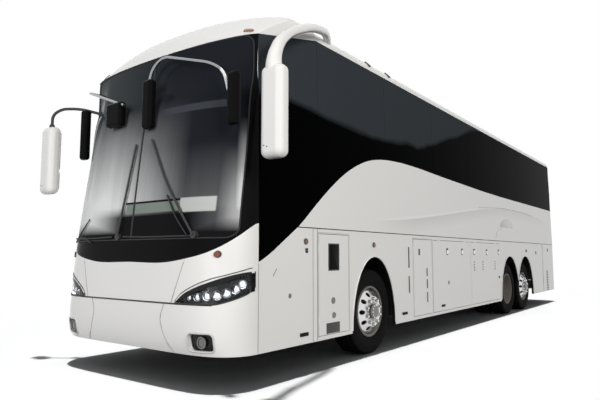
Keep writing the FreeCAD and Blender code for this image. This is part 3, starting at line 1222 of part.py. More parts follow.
def build():
    """Make every piece and write it."""
    doors_left = [SERVICE_DOOR_Y, SIDE_DOOR_Y] + bay_door_spans()
    save("underframe", underframe())
    save("cabin_floor", cabin_floor())
    save("side_panel_left", side_panel(doors_left))
    right_panel = side_panel(bay_door_spans()).cut(entry_outline(SHUT_GAP))
    save("side_panel_right", mirrored(right_panel))
    wall = side_wall()
    save("side_wall_left", wall)
    save("side_wall_right", mirrored(wall.cut(entry_outline(SHUT_GAP))))
    glass = side_glass()
    save("side_glass_left", glass)
    save("side_glass_right", mirrored(glass.cut(entry_outline(SHUT_GAP))))
    front_parts()
    save("front_cap", cap())
    save("roof", roof())
    save("roof_hatch_front", hatch(HATCH_Y[0]))
    save("roof_hatch_rear", hatch(HATCH_Y[1]))
    rear_parts()
    save("wheelhouses", wheelhouses())
    save("luggage_bays", luggage_bays())
    save("dash", dash())
    save("steering_wheel", steering_wheel())
    save("driver_seat", seat_profile(DRIVER_SEAT_Y, STEER_X - DRIVER_SEAT_WIDTH / 2,
                                     STEER_X + DRIVER_SEAT_WIDTH / 2, PLATFORM_Z))
    save("passenger_seats", passenger_seats())
    engine_low_z = RAIL_BOTTOM_Z + CROSS_DEPTH
    save("engine_block", box(-ENGINE_HALF, ENGINE_HALF, *ENGINE_Y, engine_low_z, ENGINE_TOP_Z))
    save("axles", axles())
    left_knuckle = knuckle()
    save("knuckle_left", left_knuckle)
    save("knuckle_right", mirrored(left_knuckle))
    for name, y in (("front", FRONT_Y), ("tag", TAG_Y)):
        wheel = single_wheel(y)
        rubber = tyre(WHEEL_X, y)
        save("wheel_" + name + "_left", wheel)
        save("wheel_" + name + "_right", mirrored(wheel))
        save("tyre_" + name + "_left", rubber)
        save("tyre_" + name + "_right", mirrored(rubber))
    wheel = twin_wheel(DRIVE_Y)
    rubber = Part.makeCompound([tyre(WHEEL_X, DRIVE_Y), tyre(WHEEL_X - TWIN_SPACING, DRIVE_Y)])
    save("wheel_drive_left", wheel)
    save("wheel_drive_right", mirrored(wheel))
    save("tyres_drive_left", rubber)
    save("tyres_drive_right", mirrored(rubber))
    frame, pane = entry_door_parts()
    save("entry_door", mirrored(frame))
    save("entry_door_glass", mirrored(pane))
    save("service_door", hinged_leaf(*SERVICE_DOOR_Y, True))
    save("side_door", hinged_leaf(*SIDE_DOOR_Y, True))
    for i, span in enumerate(bay_door_spans()):
        leaf = hinged_leaf(*span, False)
        save("luggage_door_left_" + str(i + 1), leaf)
        save("luggage_door_right_" + str(i + 1), mirrored(leaf))
    mirrors()
    save("wipers", wipers())
    save("marker_lamps", marker_lamps())


build()
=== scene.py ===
"""Coach bus: finishes, trim, lamps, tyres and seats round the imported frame."""

import math
from itertools import product

import bmesh
import bpy
from bpy.props import FloatProperty, FloatVectorProperty, IntProperty, PointerProperty
from mathutils import Matrix, Vector
from mathutils.bvhtree import BVHTree


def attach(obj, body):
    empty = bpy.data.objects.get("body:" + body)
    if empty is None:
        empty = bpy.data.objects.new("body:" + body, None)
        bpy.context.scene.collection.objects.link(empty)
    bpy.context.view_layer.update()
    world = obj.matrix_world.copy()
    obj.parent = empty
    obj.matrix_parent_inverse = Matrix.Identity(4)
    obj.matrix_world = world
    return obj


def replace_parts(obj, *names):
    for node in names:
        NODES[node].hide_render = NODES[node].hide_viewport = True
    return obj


bl_info = {
    "name": "Coach bus dressing",
    "version": (1, 0, 0),
    "blender": (4, 5, 0),
    "location": "View3D > Sidebar > Coach",
    "description": "Finishes and fits out a three-axle coach round its packed frame",
    "category": "Object",
}

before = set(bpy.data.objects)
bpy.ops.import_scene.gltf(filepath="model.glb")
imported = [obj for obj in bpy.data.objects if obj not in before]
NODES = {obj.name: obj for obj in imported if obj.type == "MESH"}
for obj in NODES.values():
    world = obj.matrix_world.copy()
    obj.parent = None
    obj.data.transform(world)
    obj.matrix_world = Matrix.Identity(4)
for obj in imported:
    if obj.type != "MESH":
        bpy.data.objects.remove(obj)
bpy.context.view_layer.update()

# Body, in metres: half width, lean of the walls, heights and seams
HALF = 1.295
LEAN = 0.022
SKIRT_Z = 0.3
BUMPER_TOP_Z = 0.735
FASCIA_RISE = 0.715
BELT_Z = 1.44
GLASS_TOP_Z = 3.45
SEAM_Y = -5.625
REAR_SEAM_Y = 5.825
LINE_PROUD = 0.0004

# Wheels: middles, twin spacing and radius of the tyres, and the ovals of the arches
WHEEL_X = 1.092
TWIN = 0.335
TYRE_R = 0.5
AXLES = {"front": -3.515, "drive": 2.05, "tag": 3.2}
SIDES = (("left", 1), ("right", -1))
# Radius past which each rim's outer flange is darkened as painted shade, and radius of the dark hub
RIM_SHADE_R = 0.262
HUB_SEEN_R = 0.128
ARCH_HALF = {"front": 0.522, "drive": 0.62, "tag": 0.62}
ARCH_FOOT_Z = 0.33
ARCH_RISE = 0.82
ARCH_MERGES = {"drive": "tag", "tag": "drive"}

# Luggage doors: height of the latches, and places along each door of latches and vents
LATCH_Z = 1.222
LUGGAGE_FITTINGS = {1: ((-1.234, -0.608), ()), 2: ((-0.040, 0.628, 1.325), (-0.042, 0.402, 1.080))}

# Nose: windscreen, fog lamp and seams as (x, z); headlamp bowls as (x, z, radius) and lines as (x, z)
SCREEN_HALF = (1.232, 0.95)
SCREEN_MID_Z = 2.265
BEAD_Z = (1.33, 3.20)
FOG_LAMP = (0.985, 0.418)
BUMPER_SEAM_Z = 0.737
PROJECTOR_R = 0.0365
PROJECTORS = ((0.866, 0.795, 0.022), (0.950, 0.802, 0.036), (1.042, 0.815, 0.040), (1.122, 0.822, 0.041),
              (1.187, 0.838, 0.041), (1.236, 0.870, 0.040), (1.264, 0.912, 0.038))
LAMP_BELOW = ((0.704, 0.7470), (0.808, 0.793), (0.952, 0.857), (1.06, 0.895), (1.178, 0.940), (1.255, 0.984),
              (1.287, 1.002))
LAMP_ABOVE = ((0.704, 0.7515), (0.808, 0.831), (0.952, 0.895), (1.06, 0.934), (1.178, 0.979), (1.255, 1.008),
              (1.287, 1.020))
LAMP_BROW = ((0.700, 0.7580), (0.775, 0.831), (0.917, 0.903), (1.06, 0.957), (1.172, 0.991), (1.250, 1.024),
             (1.288, 1.052))
LAMP_UNDER = ((1.2865, 0.880), (1.280, 0.830), (1.2367, 0.790), (1.1655, 0.7575), (1.088, 0.7415),
              (0.96, 0.7415), (0.829, 0.7415), (0.704, 0.7470))
LAMP_REAR_Y = -5.666

# Mirror heads as (x, y, z) of their middles, and half their depth
MIRROR_HEADS = ((1.66, -5.85, 2.365), (-1.66, -5.992, 2.275))
MIRROR_HALF_DEPTH = 0.0745

# Cabin: places of the seats, their height and depth, the lean of their backs, and (x, y, floor, width) of the
# driver's place
SEAT_ROWS = 12
SEAT_PITCH = 0.79
SEAT_FIRST_Y = -3.85
SEAT_X = (0.455, 0.955, -0.455, -0.955)
CABIN_FLOOR_Z = 1.4
SEAT_WIDTH = 0.47
SEAT_TOP = 0.43
SEAT_DEPTH = 0.47
SEAT_LEAN = math.atan2(0.130, 0.7225)
DRIVER_PLACE = (0.72, -4.95, 1.0, 0.50)
STEERING_HUB = (0.72, -5.29, 1.5)
STEERING_TILT = 28.0

# Entry: outer edge of the stair and how many steps it has
STAIR_X = 1.244
STAIR_STEPS = 3

# Profiles of (radius, height) that several fittings share
MARKER_RING = ((0.026, 0.0), (0.031, 0.0), (0.031, 0.009), (0.027, 0.013), (0.026, 0.011))
SMALL_NUT = ((0.0, 0.0), (0.0075, 0.0), (0.0075, 0.010), (0.005, 0.013), (0.0, 0.014))
CAP_NUT = ((0.0, 0.0), (0.0085, 0.0), (0.0085, 0.008), (0.006, 0.011), (0.0, 0.012))
WHEEL_NUT = ((0.0, 0.002), (0.0175, 0.002), (0.0175, 0.022), (0.014, 0.030), (0.0, 0.034))
WASHER = ((0.0, 0.0), (0.021, 0.0), (0.021, 0.004), (0.0, 0.004))
HUB_CAP = ((0.083, -0.034), (0.0865, -0.030), (0.0865, -0.016), (0.080, -0.008), (0.066, -0.003),
           (0.058, 0.0), (0.040, 0.0008), (0.038, -0.002), (0.0, -0.002))

# Stage: lamps as name, kind, place, aim, size or angle, power, colour and what they light; the camera
WHITE = (1.0, 1.0, 1.0)
LAMPS = (
    ("ground_sun", "SUN", (0.0, 0.0, 14.0), (0.0, 0.0, 0.0), math.radians(2.0), 2.9, WHITE, "ground"),
    ("overhead", "SUN", (0.0, 0.0, 12.0), (0.0, 0.0, 0.0), math.radians(20.0), 0.05, WHITE, "others"),
    ("front", "AREA", (1.0, -17.0, 4.4), (0.0, -5.0, 2.2), 6.0, 800.0, WHITE, "others"),
    ("side", "AREA", (13.0, -9.5, 5.4), (1.0, -2.0, 2.2), 6.0, 1270.0, (1.0, 0.978, 0.950), "others"),
    ("far_side", "AREA", (-15.0, 2.0, 5.5), (-1.0, 0.0, 1.8), 6.0, 1280.0, WHITE, "others"),
    ("rear", "AREA", (-1.0, 16.0, 5.5), (0.0, 5.0, 1.8), 6.0, 700.0, WHITE, "others"),
)
CAMERA_PLACE = (4.499, -9.284, 1.161)
CAMERA_TURN = (90.0 + 5.855, 0.0, 36.857)
CAMERA_LENS = 32.48

FRONT_SKIN = ("bumper", "front_fascia", "front_mask", "windscreen", "front_cap", "headlamp_lenses")
SIDE_SKIN = ("side_panel_left", "side_wall_left", "side_glass_left", "service_door", "side_door",
             "luggage_door_left_1", "luggage_door_left_2", "bumper", "front_fascia", "front_mask", "roof",
             "front_cap", "rear_body", "rear_glass")
TAIL_SKIN = ("rear_body", "rear_glass", "engine_door", "rear_lamps", "roof")

MATERIALS = {}
GROUPS = {}
SKINS = {}
X_AXIS = Vector((1.0, 0.0, 0.0))
Y_AXIS = Vector((0.0, 1.0, 0.0))
Z_AXIS = Vector((0.0, 0.0, 1.0))


# Shapes

def block(low, high, bevel=0.0, segments=2):
    """Box between two corners with rounded edges."""
    bm = bmesh.new()
    low, high = Vector(low), Vector(high)
    size = high - low
    place = Matrix.Translation((low + high) / 2) @ Matrix.Diagonal((*size, 1.0))
    bmesh.ops.create_cube(bm, size=1.0, matrix=place)
    if bevel:
        round_edges(bm, min(bevel, min(size) * 0.45), segments)
    return bm


def round_edges(bm, width, segments=2, edges=None):
    """Bevel on all edges or some of them."""
    bmesh.ops.bevel(bm, geom=edges or bm.edges[:], offset=width, offset_type="OFFSET", segments=segments,
                    profile=0.5, affect="EDGES", material=-1, clamp_overlap=True)


def lathe(profile, centre, axis, steps=48):
    """Profile of (radius, height) points turned round an axis."""
    bm = bmesh.new()
    verts = [bm.verts.new((r, 0.0, h)) for r, h in profile]
    edges = [bm.edges.new(ends) for ends in zip(verts, verts[1:])]
    bmesh.ops.spin(bm, geom=verts + edges, cent=(0, 0, 0), axis=(0, 0, 1), angle=2 * math.pi,
                   steps=steps, use_merge=True)
    bmesh.ops.remove_doubles(bm, verts=bm.verts, dist=1e-5)
    bmesh.ops.transform(bm, matrix=facing(centre, axis), verts=bm.verts)
    return bm


def facing(point, axis):
    """Matrix that puts the local Z axis along an axis at a point."""
    turn = Z_AXIS.rotation_difference(Vector(axis).normalized()).to_matrix().to_4x4()
    return Matrix.Translation(point) @ turn


def rod(start, end, radius, sides=16, bevel=0.0):
    """Round bar between two points."""
    start, end = Vector(start), Vector(end)
    length = (end - start).length
    b = min(bevel, radius * 0.5, length * 0.4)
    profile = [(0.0, 0.0), (radius - b, 0.0), (radius, b), (radius, length - b), (radius - b, length),
               (0.0, length)]
    return lathe(profile, start, end - start, sides)


def plate(points, depth, place, bevel=0.0, segments=2):
    """Flat outline of (u, v) points made thick along +Z, then placed."""
    bm = bmesh.new()
    face = bm.faces.new([bm.verts.new((u, v, 0.0)) for u, v in points])
    grown = bmesh.ops.extrude_face_region(bm, geom=[face])
    top = [g for g in grown["geom"] if isinstance(g, bmesh.types.BMVert)]
    bmesh.ops.translate(bm, vec=(0, 0, depth), verts=top)
    bmesh.ops.recalc_face_normals(bm, faces=bm.faces)
    if bevel:
        rim = [e for e in bm.edges if all(v.co.z > depth * 0.5 for v in e.verts)]
        round_edges(bm, bevel, segments, rim)
    bmesh.ops.transform(bm, matrix=place, verts=bm.verts)
    return bm


def rounded(half_u, half_v, radius, steps=4):
    """Outline of a rounded rectangle."""
    points = []
    for cu, cv, start in ((1, 1, 0.0), (-1, 1, 0.5), (-1, -1, 1.0), (1, -1, 1.5)):
        for i in range(steps + 1):
            a = math.pi * (start + 0.5 * i / steps)
            points.append((cu * (half_u - radius) + radius * math.cos(a),
                           cv * (half_v - radius) + radius * math.sin(a)))
    return points


def tile(outline, depth, at, normal, sink=0.001, bevel=0.0):
    """Outline made thick and laid on a surface, sunk a little."""
    return plate(outline, depth, facing(at - normal * sink, normal), bevel)


def on_wall(y, z, x=HALF - 0.001):
    """Matrix that lays (u, v) outlines on the left side as (y, z)."""
    return Matrix(((0, 0, 1, x), (1, 0, 0, y), (0, 1, 0, z), (0, 0, 0, 1)))


def button(profile, y, z, steps=28):
    """Profile turned outward on the lower left side."""
    return lathe(profile, Vector((HALF, y, z)), X_AXIS, steps)


def circle(count, radius, shift=0.5):
    """Offsets spaced evenly round a circle; the shift is a share of a step."""
    turns = [2 * math.pi * (i + shift) / count for i in range(count)]
    return [(radius * math.cos(a), radius * math.sin(a)) for a in turns]


class Piece:
    """One object of the scene, grown shape by shape, riding on one body."""

    def __init__(self, name, body="coach", sharp=35.0):
        self.name, self.body, self.sharp = name, body, sharp
        self.bm = bmesh.new()
        self.used = []

    def add(self, shape, material, mirror=False):
        """Add a shape in one material, with its mirror image if asked."""
        if material not in self.used:
            self.used.append(material)
        index = self.used.index(material)
        if mirror:
            copy = shape.copy()
            bmesh.ops.scale(copy, vec=(-1, 1, 1), verts=copy.verts)
            self.add(copy, material)
        bmesh.ops.recalc_face_normals(shape, faces=shape.faces)
        for f in shape.faces:
            f.material_index = index
        mesh = bpy.data.meshes.new("shape")
        shape.to_mesh(mesh)
        shape.free()
        self.bm.from_mesh(mesh)
        bpy.data.meshes.remove(mesh)
        return self

    def done(self, slot=None):
        """Make the object and let it ride."""
        mesh = bpy.data.meshes.new(self.name)
        self.bm.to_mesh(mesh)
        self.bm.free()
        for p in mesh.polygons:
            p.use_smooth = True
        mesh.set_sharp_from_angle(angle=math.radians(self.sharp))
        for material in self.used:
            mesh.materials.append(MATERIALS[material])
        obj = bpy.data.objects.new(self.name, mesh)
        bpy.context.scene.collection.objects.link(obj)
        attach(obj, self.body)
        return obj


def cord_line(name, points, radius, material, body="coach", closed=False, sides=3, radii=None):
    """Round strip along points, such as a seal or a seam; radii give each point its own size."""
    curve = bpy.data.curves.new(name, "CURVE")
    curve.dimensions = "3D"
    curve.bevel_depth = radius
    curve.bevel_resolution = sides
    curve.use_fill_caps = True
    spline = curve.splines.new("POLY")
    spline.points.add(len(points) - 1)
    for i, (p, co) in enumerate(zip(spline.points, points)):
        p.co = (*co, 1.0)
        if radii:
            p.radius = radii[i] / radius
    spline.use_cyclic_u = closed
    spline.use_smooth = True
    obj = bpy.data.objects.new(name, curve)
    bpy.context.scene.collection.objects.link(obj)
    curve.materials.append(MATERIALS[material])
    bpy.context.view_layer.update()
    depsgraph = bpy.context.evaluated_depsgraph_get()
    mesh = bpy.data.meshes.new_from_object(obj.evaluated_get(depsgraph))
    bpy.data.objects.remove(obj)
    mesh.name = name
    made = bpy.data.objects.new(name, mesh)
    bpy.context.scene.collection.objects.link(made)
    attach(made, body)
    return made


def cord_pair(name, points, radius, material, **settings):
    """The same strip on both sides; %s in the name takes the side."""
    cord_line(name % "left", points, radius, material, **settings)
    cord_line(name % "right", mirrored(points), radius, material, **settings)


def band(name, low, high, thick, material, body="coach"):
    """Thin strip between two lines of points that follow a surface."""
    bm = bmesh.new()
    edges = []
    for line in (low, high):
        verts = [bm.verts.new(p) for p in line]
        edges += [bm.edges.new(ends) for ends in zip(verts, verts[1:])]
    faces = bmesh.ops.bridge_loops(bm, edges=edges)["faces"]
    bmesh.ops.solidify(bm, geom=faces, thickness=thick)
    return Piece(name, body, 30.0).add(bm, material).done()


def mirrored(points):
    """The same points on the other side of the coach."""
    return [Vector((-x, y, z)) for x, y, z in points]


def skin(names):
    """Search tree over some of the frame's nodes."""
    if names not in SKINS:
        verts, faces = [], []
        for n in names:
            mesh = NODES[n].data
            start = len(verts)
            verts += [v.co.copy() for v in mesh.vertices]
            faces += [[start + i for i in p.vertices] for p in mesh.polygons]
        SKINS[names] = BVHTree.FromPolygons(verts, faces)
    return SKINS[names]


def touch(names, start, aim):
    """First point of some nodes along a line, or just beside a gap in them, and its outward normal."""
    aside = X_AXIS if aim.y else Y_AXIS
    for shift in (0.0, 0.006, -0.006):
        for lift in (0.0, 0.006, -0.006, 0.014, -0.014):
            hit = skin(names).ray_cast(start + aside * shift + Z_AXIS * lift, aim)
            if hit[0] is not None and hit[3] < 4.2:
                normal = hit[1] if hit[1].dot(aim) < 0 else -hit[1]
                return start + aim * hit[3], normal
    raise RuntimeError("nothing at %s" % start)


def on_front(x, z, names=FRONT_SKIN):
    """Point and normal of the nose at x and z."""
    return touch(names, Vector((x, -9.0, z)), Y_AXIS)


def on_tail(x, z, names=TAIL_SKIN):
    """Point and normal of the tail at x and z."""
    return touch(names, Vector((x, 9.0, z)), -Y_AXIS)


def on_side(y, z):
    """Point and normal of the driver's side at y and z."""
    return touch(SIDE_SKIN, Vector((3.0, y, z)), -X_AXIS)


def lifted(places, lift):
    """Points just off the nose at (x, z) places."""
    hits = [on_front(x, z) for x, z in places]
    return [at + normal * lift for at, normal in hits]


def nose_line(stations, lift=0.0, steps=6):
    """Points on or just off the nose, on a smooth line through (x, z) stations."""
    return lifted([(p.x, p.z) for p in smooth_through([(x, 0.0, z) for x, z in stations], steps)], lift)


def wall_x(z):
    """Outer face of the side wall at height z."""
    return HALF - LEAN * max(0.0, z - BELT_Z) / (GLASS_TOP_Z - BELT_Z)


def wall_line(stations, steps):
    """Points just off the left side wall, on a smooth line through (y, z) stations."""
    line = smooth_through([(0, y, z) for y, z in stations], steps)
    return [(wall_x(p.z) + 0.0002, p.y, p.z) for p in line]


def smooth_through(points, steps=6):
    """Denser points on a smooth line through some points."""
    points = [Vector(p) for p in points]
    rows = [points[0] * 2 - points[1]] + points + [points[-1] * 2 - points[-2]]
    out = []
    for a, b, c, d in zip(rows, rows[1:], rows[2:], rows[3:]):
        for i in range(steps):
            t = i / steps
            out.append(0.5 * ((2 * b) + (c - a) * t + (2 * a - 5 * b + 4 * c - d) * t * t
                              + (3 * b - a - 3 * c + d) * t ** 3))
    return out + [points[-1]]


# Finishes

def node_group(name, inputs, outputs=("Color",)):
    """Shader group with named sockets; gives its tree, its inputs' values and its results."""
    group = bpy.data.node_groups.new(name, "ShaderNodeTree")
    for label, default in inputs.items():
        colour = isinstance(default, tuple)
        kind = "NodeSocketColor" if colour else "NodeSocketFloat"
        socket = group.interface.new_socket(label, in_out="INPUT", socket_type=kind)
        socket.default_value = (*default, 1.0) if colour else default
    for label in outputs:
        kind = "NodeSocketColor" if label == "Color" else "NodeSocketFloat"
        group.interface.new_socket(label, in_out="OUTPUT", socket_type=kind)
    start = group.nodes.new("NodeGroupInput")
    end = group.nodes.new("NodeGroupOutput")
    return group, start.outputs, end.inputs


def fill(node, values):
    """Set a node's inputs by name; colours come without alpha."""
    for label, value in values.items():
        socket = node.inputs[label]
        socket.default_value = (*value, 1.0) if socket.type == "RGBA" else value
    return node


def add_node(tree, kind, links=(), **settings):
    """Node with settings and links: links are (input, output socket)."""
    node = tree.nodes.new(kind)
    for key, value in settings.items():
        setattr(node, key, value)
    for socket, source in links:
        tree.links.new(source, node.inputs[socket])
    return node


def math_node(tree, operation, a, b, clamp=False):
    """Math node on sockets or numbers; gives its output socket."""
    node = add_node(tree, "ShaderNodeMath", operation=operation, use_clamp=clamp)
    for i, value in enumerate((a, b)):
        if isinstance(value, (int, float)):
            node.inputs[i].default_value = value
        else:
            tree.links.new(value, node.inputs[i])
    return node.outputs[0]


def plus(tree, a, b, clamp=False):
    """Sum of two sockets or numbers."""
    return math_node(tree, "ADD", a, b, clamp)


def minus(tree, a, b):
    """Difference of two sockets or numbers."""
    return math_node(tree, "SUBTRACT", a, b)


def times(tree, a, b, clamp=False):
    """Product of two sockets or numbers."""
    return math_node(tree, "MULTIPLY", a, b, clamp)


def share(tree, a, b):
    """Quotient of two sockets or numbers, kept between 0 and 1."""
    return math_node(tree, "DIVIDE", a, b, True)


def mix_colour(tree, factor, a, b):
    """Colour between two colour sockets."""
    return add_node(tree, "ShaderNodeMix", ((0, factor), (6, a), (7, b)), data_type="RGBA").outputs[2]


def own_place(tree):
    """Object coordinates."""
    return tree.nodes.new("ShaderNodeTexCoord").outputs["Object"]


def axes(tree, vector):
    """X, Y and Z of a vector."""
    return add_node(tree, "ShaderNodeSeparateXYZ", [("Vector", vector)]).outputs[:]


def noise(tree, vector, scale, detail=3.0, rough=0.5):
    """Noise value at a scale."""
    node = fill(tree.nodes.new("ShaderNodeTexNoise"), {"Detail": detail, "Roughness": rough})
    if isinstance(scale, (int, float)):
        node.inputs["Scale"].default_value = scale
    else:
        tree.links.new(scale, node.inputs["Scale"])
    tree.links.new(vector, node.inputs["Vector"])
    return node.outputs["Fac"]


def weathering_group():
    """Road film that gathers low down, with patchy gloss."""
    g, given, results = node_group("Weathering", {
        "Clean": (0.8, 0.8, 0.8), "Film": (0.35, 0.32, 0.28), "Amount": 0.3, "Low": 0.3, "High": 1.2,
        "Scale": 3.0, "Gloss": 0.3, "Spread": 0.1}, ("Color", "Roughness", "Mask"))
    at = own_place(g)
    reach = add_node(g, "ShaderNodeMapRange", [("Value", axes(g, at)[2]), ("From Min", given["High"]),
                                               ("From Max", given["Low"])])
    patch = noise(g, at, given["Scale"], 5.0, 0.6)
    fine = noise(g, at, 45.0, 4.0, 0.65)
    mask = times(g, times(g, reach.outputs["Result"], plus(g, patch, fine)), given["Amount"], True)
    swing = times(g, minus(g, patch, 0.5), given["Spread"])
    rough = plus(g, plus(g, given["Gloss"], swing), times(g, mask, 0.5), True)
    g.links.new(mix_colour(g, mask, given["Clean"], given["Film"]), results["Color"])
    g.links.new(rough, results["Roughness"])
    g.links.new(mask, results["Mask"])
    return g


def grain_group():
    """Fine even relief of paint, moulded plastic or cast metal."""
    g, given, results = node_group("Grain", {"Scale": 200.0, "Coarse": 20.0, "Share": 0.3}, ("Height",))
    at = own_place(g)
    fine = noise(g, at, given["Scale"], 2.0)
    coarse = noise(g, at, given["Coarse"], 2.0)
    g.links.new(plus(g, fine, times(g, coarse, given["Share"])), results["Height"])
    return g


def ramp(tree, value, start, end):
    """Value that is 0 at the start, 1 at the end and straight between them."""
    return share(tree, minus(tree, value, start), end - start)


def all_of(tree, *masks):
    """Where every mask holds."""
    out = masks[0]
    for mask in masks[1:]:
        out = times(tree, out, mask)
    return out


def between(tree, value, low, high, soft=0.012):
    """Mask between two values with a soft border."""
    return all_of(tree, ramp(tree, value, low - soft, low), ramp(tree, value, high + soft, high))


def dark_glass_and_reflection_group():
    """Tinted side glass: black below a wavy border that climbs towards the tail, with a painted slate
    reflection above it.
    """
    g, given, results = node_group("Glass tint", {
        "Dark": (0.01, 0.01, 0.01), "Light": (0.04, 0.05, 0.06), "Height": 2.6, "Fade": 0.08, "Wave": 0.3,
        "Rise": 0.9, "Rise Start": -2.2, "Rise End": 0.6})
    at = own_place(g)
    y, z = axes(g, at)[1:]
    swell = minus(g, noise(g, at, 0.7, 3.0, 0.5), 0.5)
    climb = add_node(g, "ShaderNodeMapRange", [("Value", y), ("From Min", given["Rise Start"]),
                                               ("From Max", given["Rise End"]), ("To Max", given["Rise"])])
    # Height of the wavy border; above it the glass shows the painted reflection
    level = minus(g, plus(g, z, times(g, swell, given["Wave"])), climb.outputs["Result"])
    mask = share(g, minus(g, level, given["Height"]), given["Fade"])
    g.links.new(mix_colour(g, mask, given["Dark"], given["Light"]), results["Color"])
    return g


def screen_group():
    """Painted reflection in the windscreen, pale low on one side and slate above, with a painted glint, and a
    painted view of a rail and the dash behind the glass.
    """
    g, given, results = node_group("Screen view", {
        "Pale": (0.80, 0.81, 0.81), "Slate": (0.013, 0.015, 0.020), "Grey": (0.042, 0.050, 0.053),
        "Rail": (0.050, 0.054, 0.066), "Dash": (0.009, 0.009, 0.010), "Panel": (0.50, 0.52, 0.50),
        "Shelf": (0.22, 0.26, 0.24)})
    at = own_place(g)
    x, _, z = axes(g, at)
    tall = fill(add_node(g, "ShaderNodeMapping", [("Vector", at)]), {"Scale": (6.0, 1.0, 0.35)})
    # Painted reflection: pale low on one side and in one corner, a faint painted lift low down, broken by
    # tall streaks
    painted_streak = times(g, minus(g, noise(g, tall.outputs[0], 1.6, 3.0), 0.5), 0.55)
    low = math_node(g, "POWER", ramp(g, z, 2.70, 1.68), 1.1)
    near = all_of(g, low, ramp(g, x, 0.70, -0.50))
    corner = all_of(g, ramp(g, x, 1.06, 1.24), ramp(g, z, 2.15, 1.60))
    painted_low_reflection = times(g, ramp(g, z, 2.20, 1.62), 0.10)
    light = plus(g, plus(g, near, times(g, corner, 0.45)), painted_low_reflection)
    light = times(g, light, plus(g, painted_streak, 1.0), True)
    # Painted glint down one edge of the glass
    painted_glint = all_of(g, ramp(g, x, 1.165, 1.215), ramp(g, z, 2.42, 1.85), ramp(g, z, 1.40, 1.60))
    light = math_node(g, "MAXIMUM", light, times(g, painted_glint, 0.7))
    # Painted view of the cabin behind the glass: a rail, the dash, its shelf and top edge, and a side panel
    rail = all_of(g, between(g, z, 2.535, 2.595), between(g, x, 0.26, 1.12, 0.03))
    dash = all_of(g, ramp(g, z, 1.64, 1.54), ramp(g, x, -0.75, -0.20), ramp(g, x, 1.16, 0.80))
    dash = math_node(g, "MAXIMUM", dash, ramp(g, z, 1.50, 1.37))
    shelf = all_of(g, between(g, x, -0.12, 0.67), between(g, z, 1.575, 1.668))
    edge = all_of(g, between(g, x, -0.14, 0.66), between(g, z, 1.668, 1.682, 0.006))
    panel = all_of(g, between(g, x, 0.67, 1.05), between(g, z, 1.56, 1.68))
    # Base of the painted reflection: slate going to grey towards one side
    colour = mix_colour(g, ramp(g, x, 0.35, -0.70), given["Slate"], given["Grey"])
    for mask, label in ((light, "Pale"), (rail, "Rail"), (dash, "Dash"), (shelf, "Shelf"), (edge, "Dash"),
                        (panel, "Panel")):
        colour = mix_colour(g, mask, colour, given[label])
    g.links.new(colour, results["Color"])
    return g


def swage_shade_group():
    """Painted soft shade under the pressed line that climbs along the side, and a painted highlight over it.
    """
    g, given, results = node_group("Side swage", {
        "Paint": (0.8, 0.8, 0.8), "Shade": (0.56, 0.55, 0.53), "Edge": (0.90, 0.895, 0.88), "Depth": 0.22})
    y, z = axes(g, own_place(g))[1:]
    climb = add_node(g, "ShaderNodeMapRange", [("Value", y)], interpolation_type="SMOOTHSTEP")
    fill(climb, {"From Min": -4.2, "From Max": 2.4, "To Min": 1.57, "To Max": 2.10})
    past = math_node(g, "MAXIMUM", minus(g, y, 2.4), 0.0)
    drop = times(g, times(g, past, past), 0.012)
    under = minus(g, minus(g, climb.outputs["Result"], drop), z)
    ends = all_of(g, ramp(g, y, -3.5, -2.4), ramp(g, y, 5.4, 4.2))
    # Painted shade fading down from the line, and a painted highlight just above it
    shade = all_of(g, ramp(g, under, 0.0, 0.004), ends, minus(g, 1.0, share(g, under, given["Depth"])))
    colour = mix_colour(g, times(g, shade, 0.75), given["Paint"], given["Shade"])
    edge = all_of(g, ramp(g, under, -0.045, -0.005), ramp(g, under, 0.003, 0.0), ends)
    g.links.new(mix_colour(g, edge, colour, given["Edge"]), results["Color"])
    return g


def weave_group():
    """Plain weave with a sparse fleck."""
    g, given, results = node_group("Weave", {
        "Ground": (0.1, 0.12, 0.2), "Fleck": (0.3, 0.33, 0.4), "Scale": 700.0}, ("Color", "Height"))
    at = own_place(g)
    rows = [add_node(g, "ShaderNodeTexWave", [("Vector", at), ("Scale", given["Scale"])],
                     bands_direction=direction).outputs["Fac"] for direction in ("X", "Y", "Z")]
    fleck = math_node(g, "GREATER_THAN", noise(g, at, 60.0, 2.0), 0.62)
    g.links.new(mix_colour(g, fleck, given["Ground"], given["Fleck"]), results["Color"])
    g.links.new(times(g, plus(g, rows[0], rows[1]), rows[2]), results["Height"])
    return g


def group_node(tree, name, values):
    """Node of a shared group with its inputs set."""
    return fill(add_node(tree, "ShaderNodeGroup", node_tree=GROUPS[name]), values)


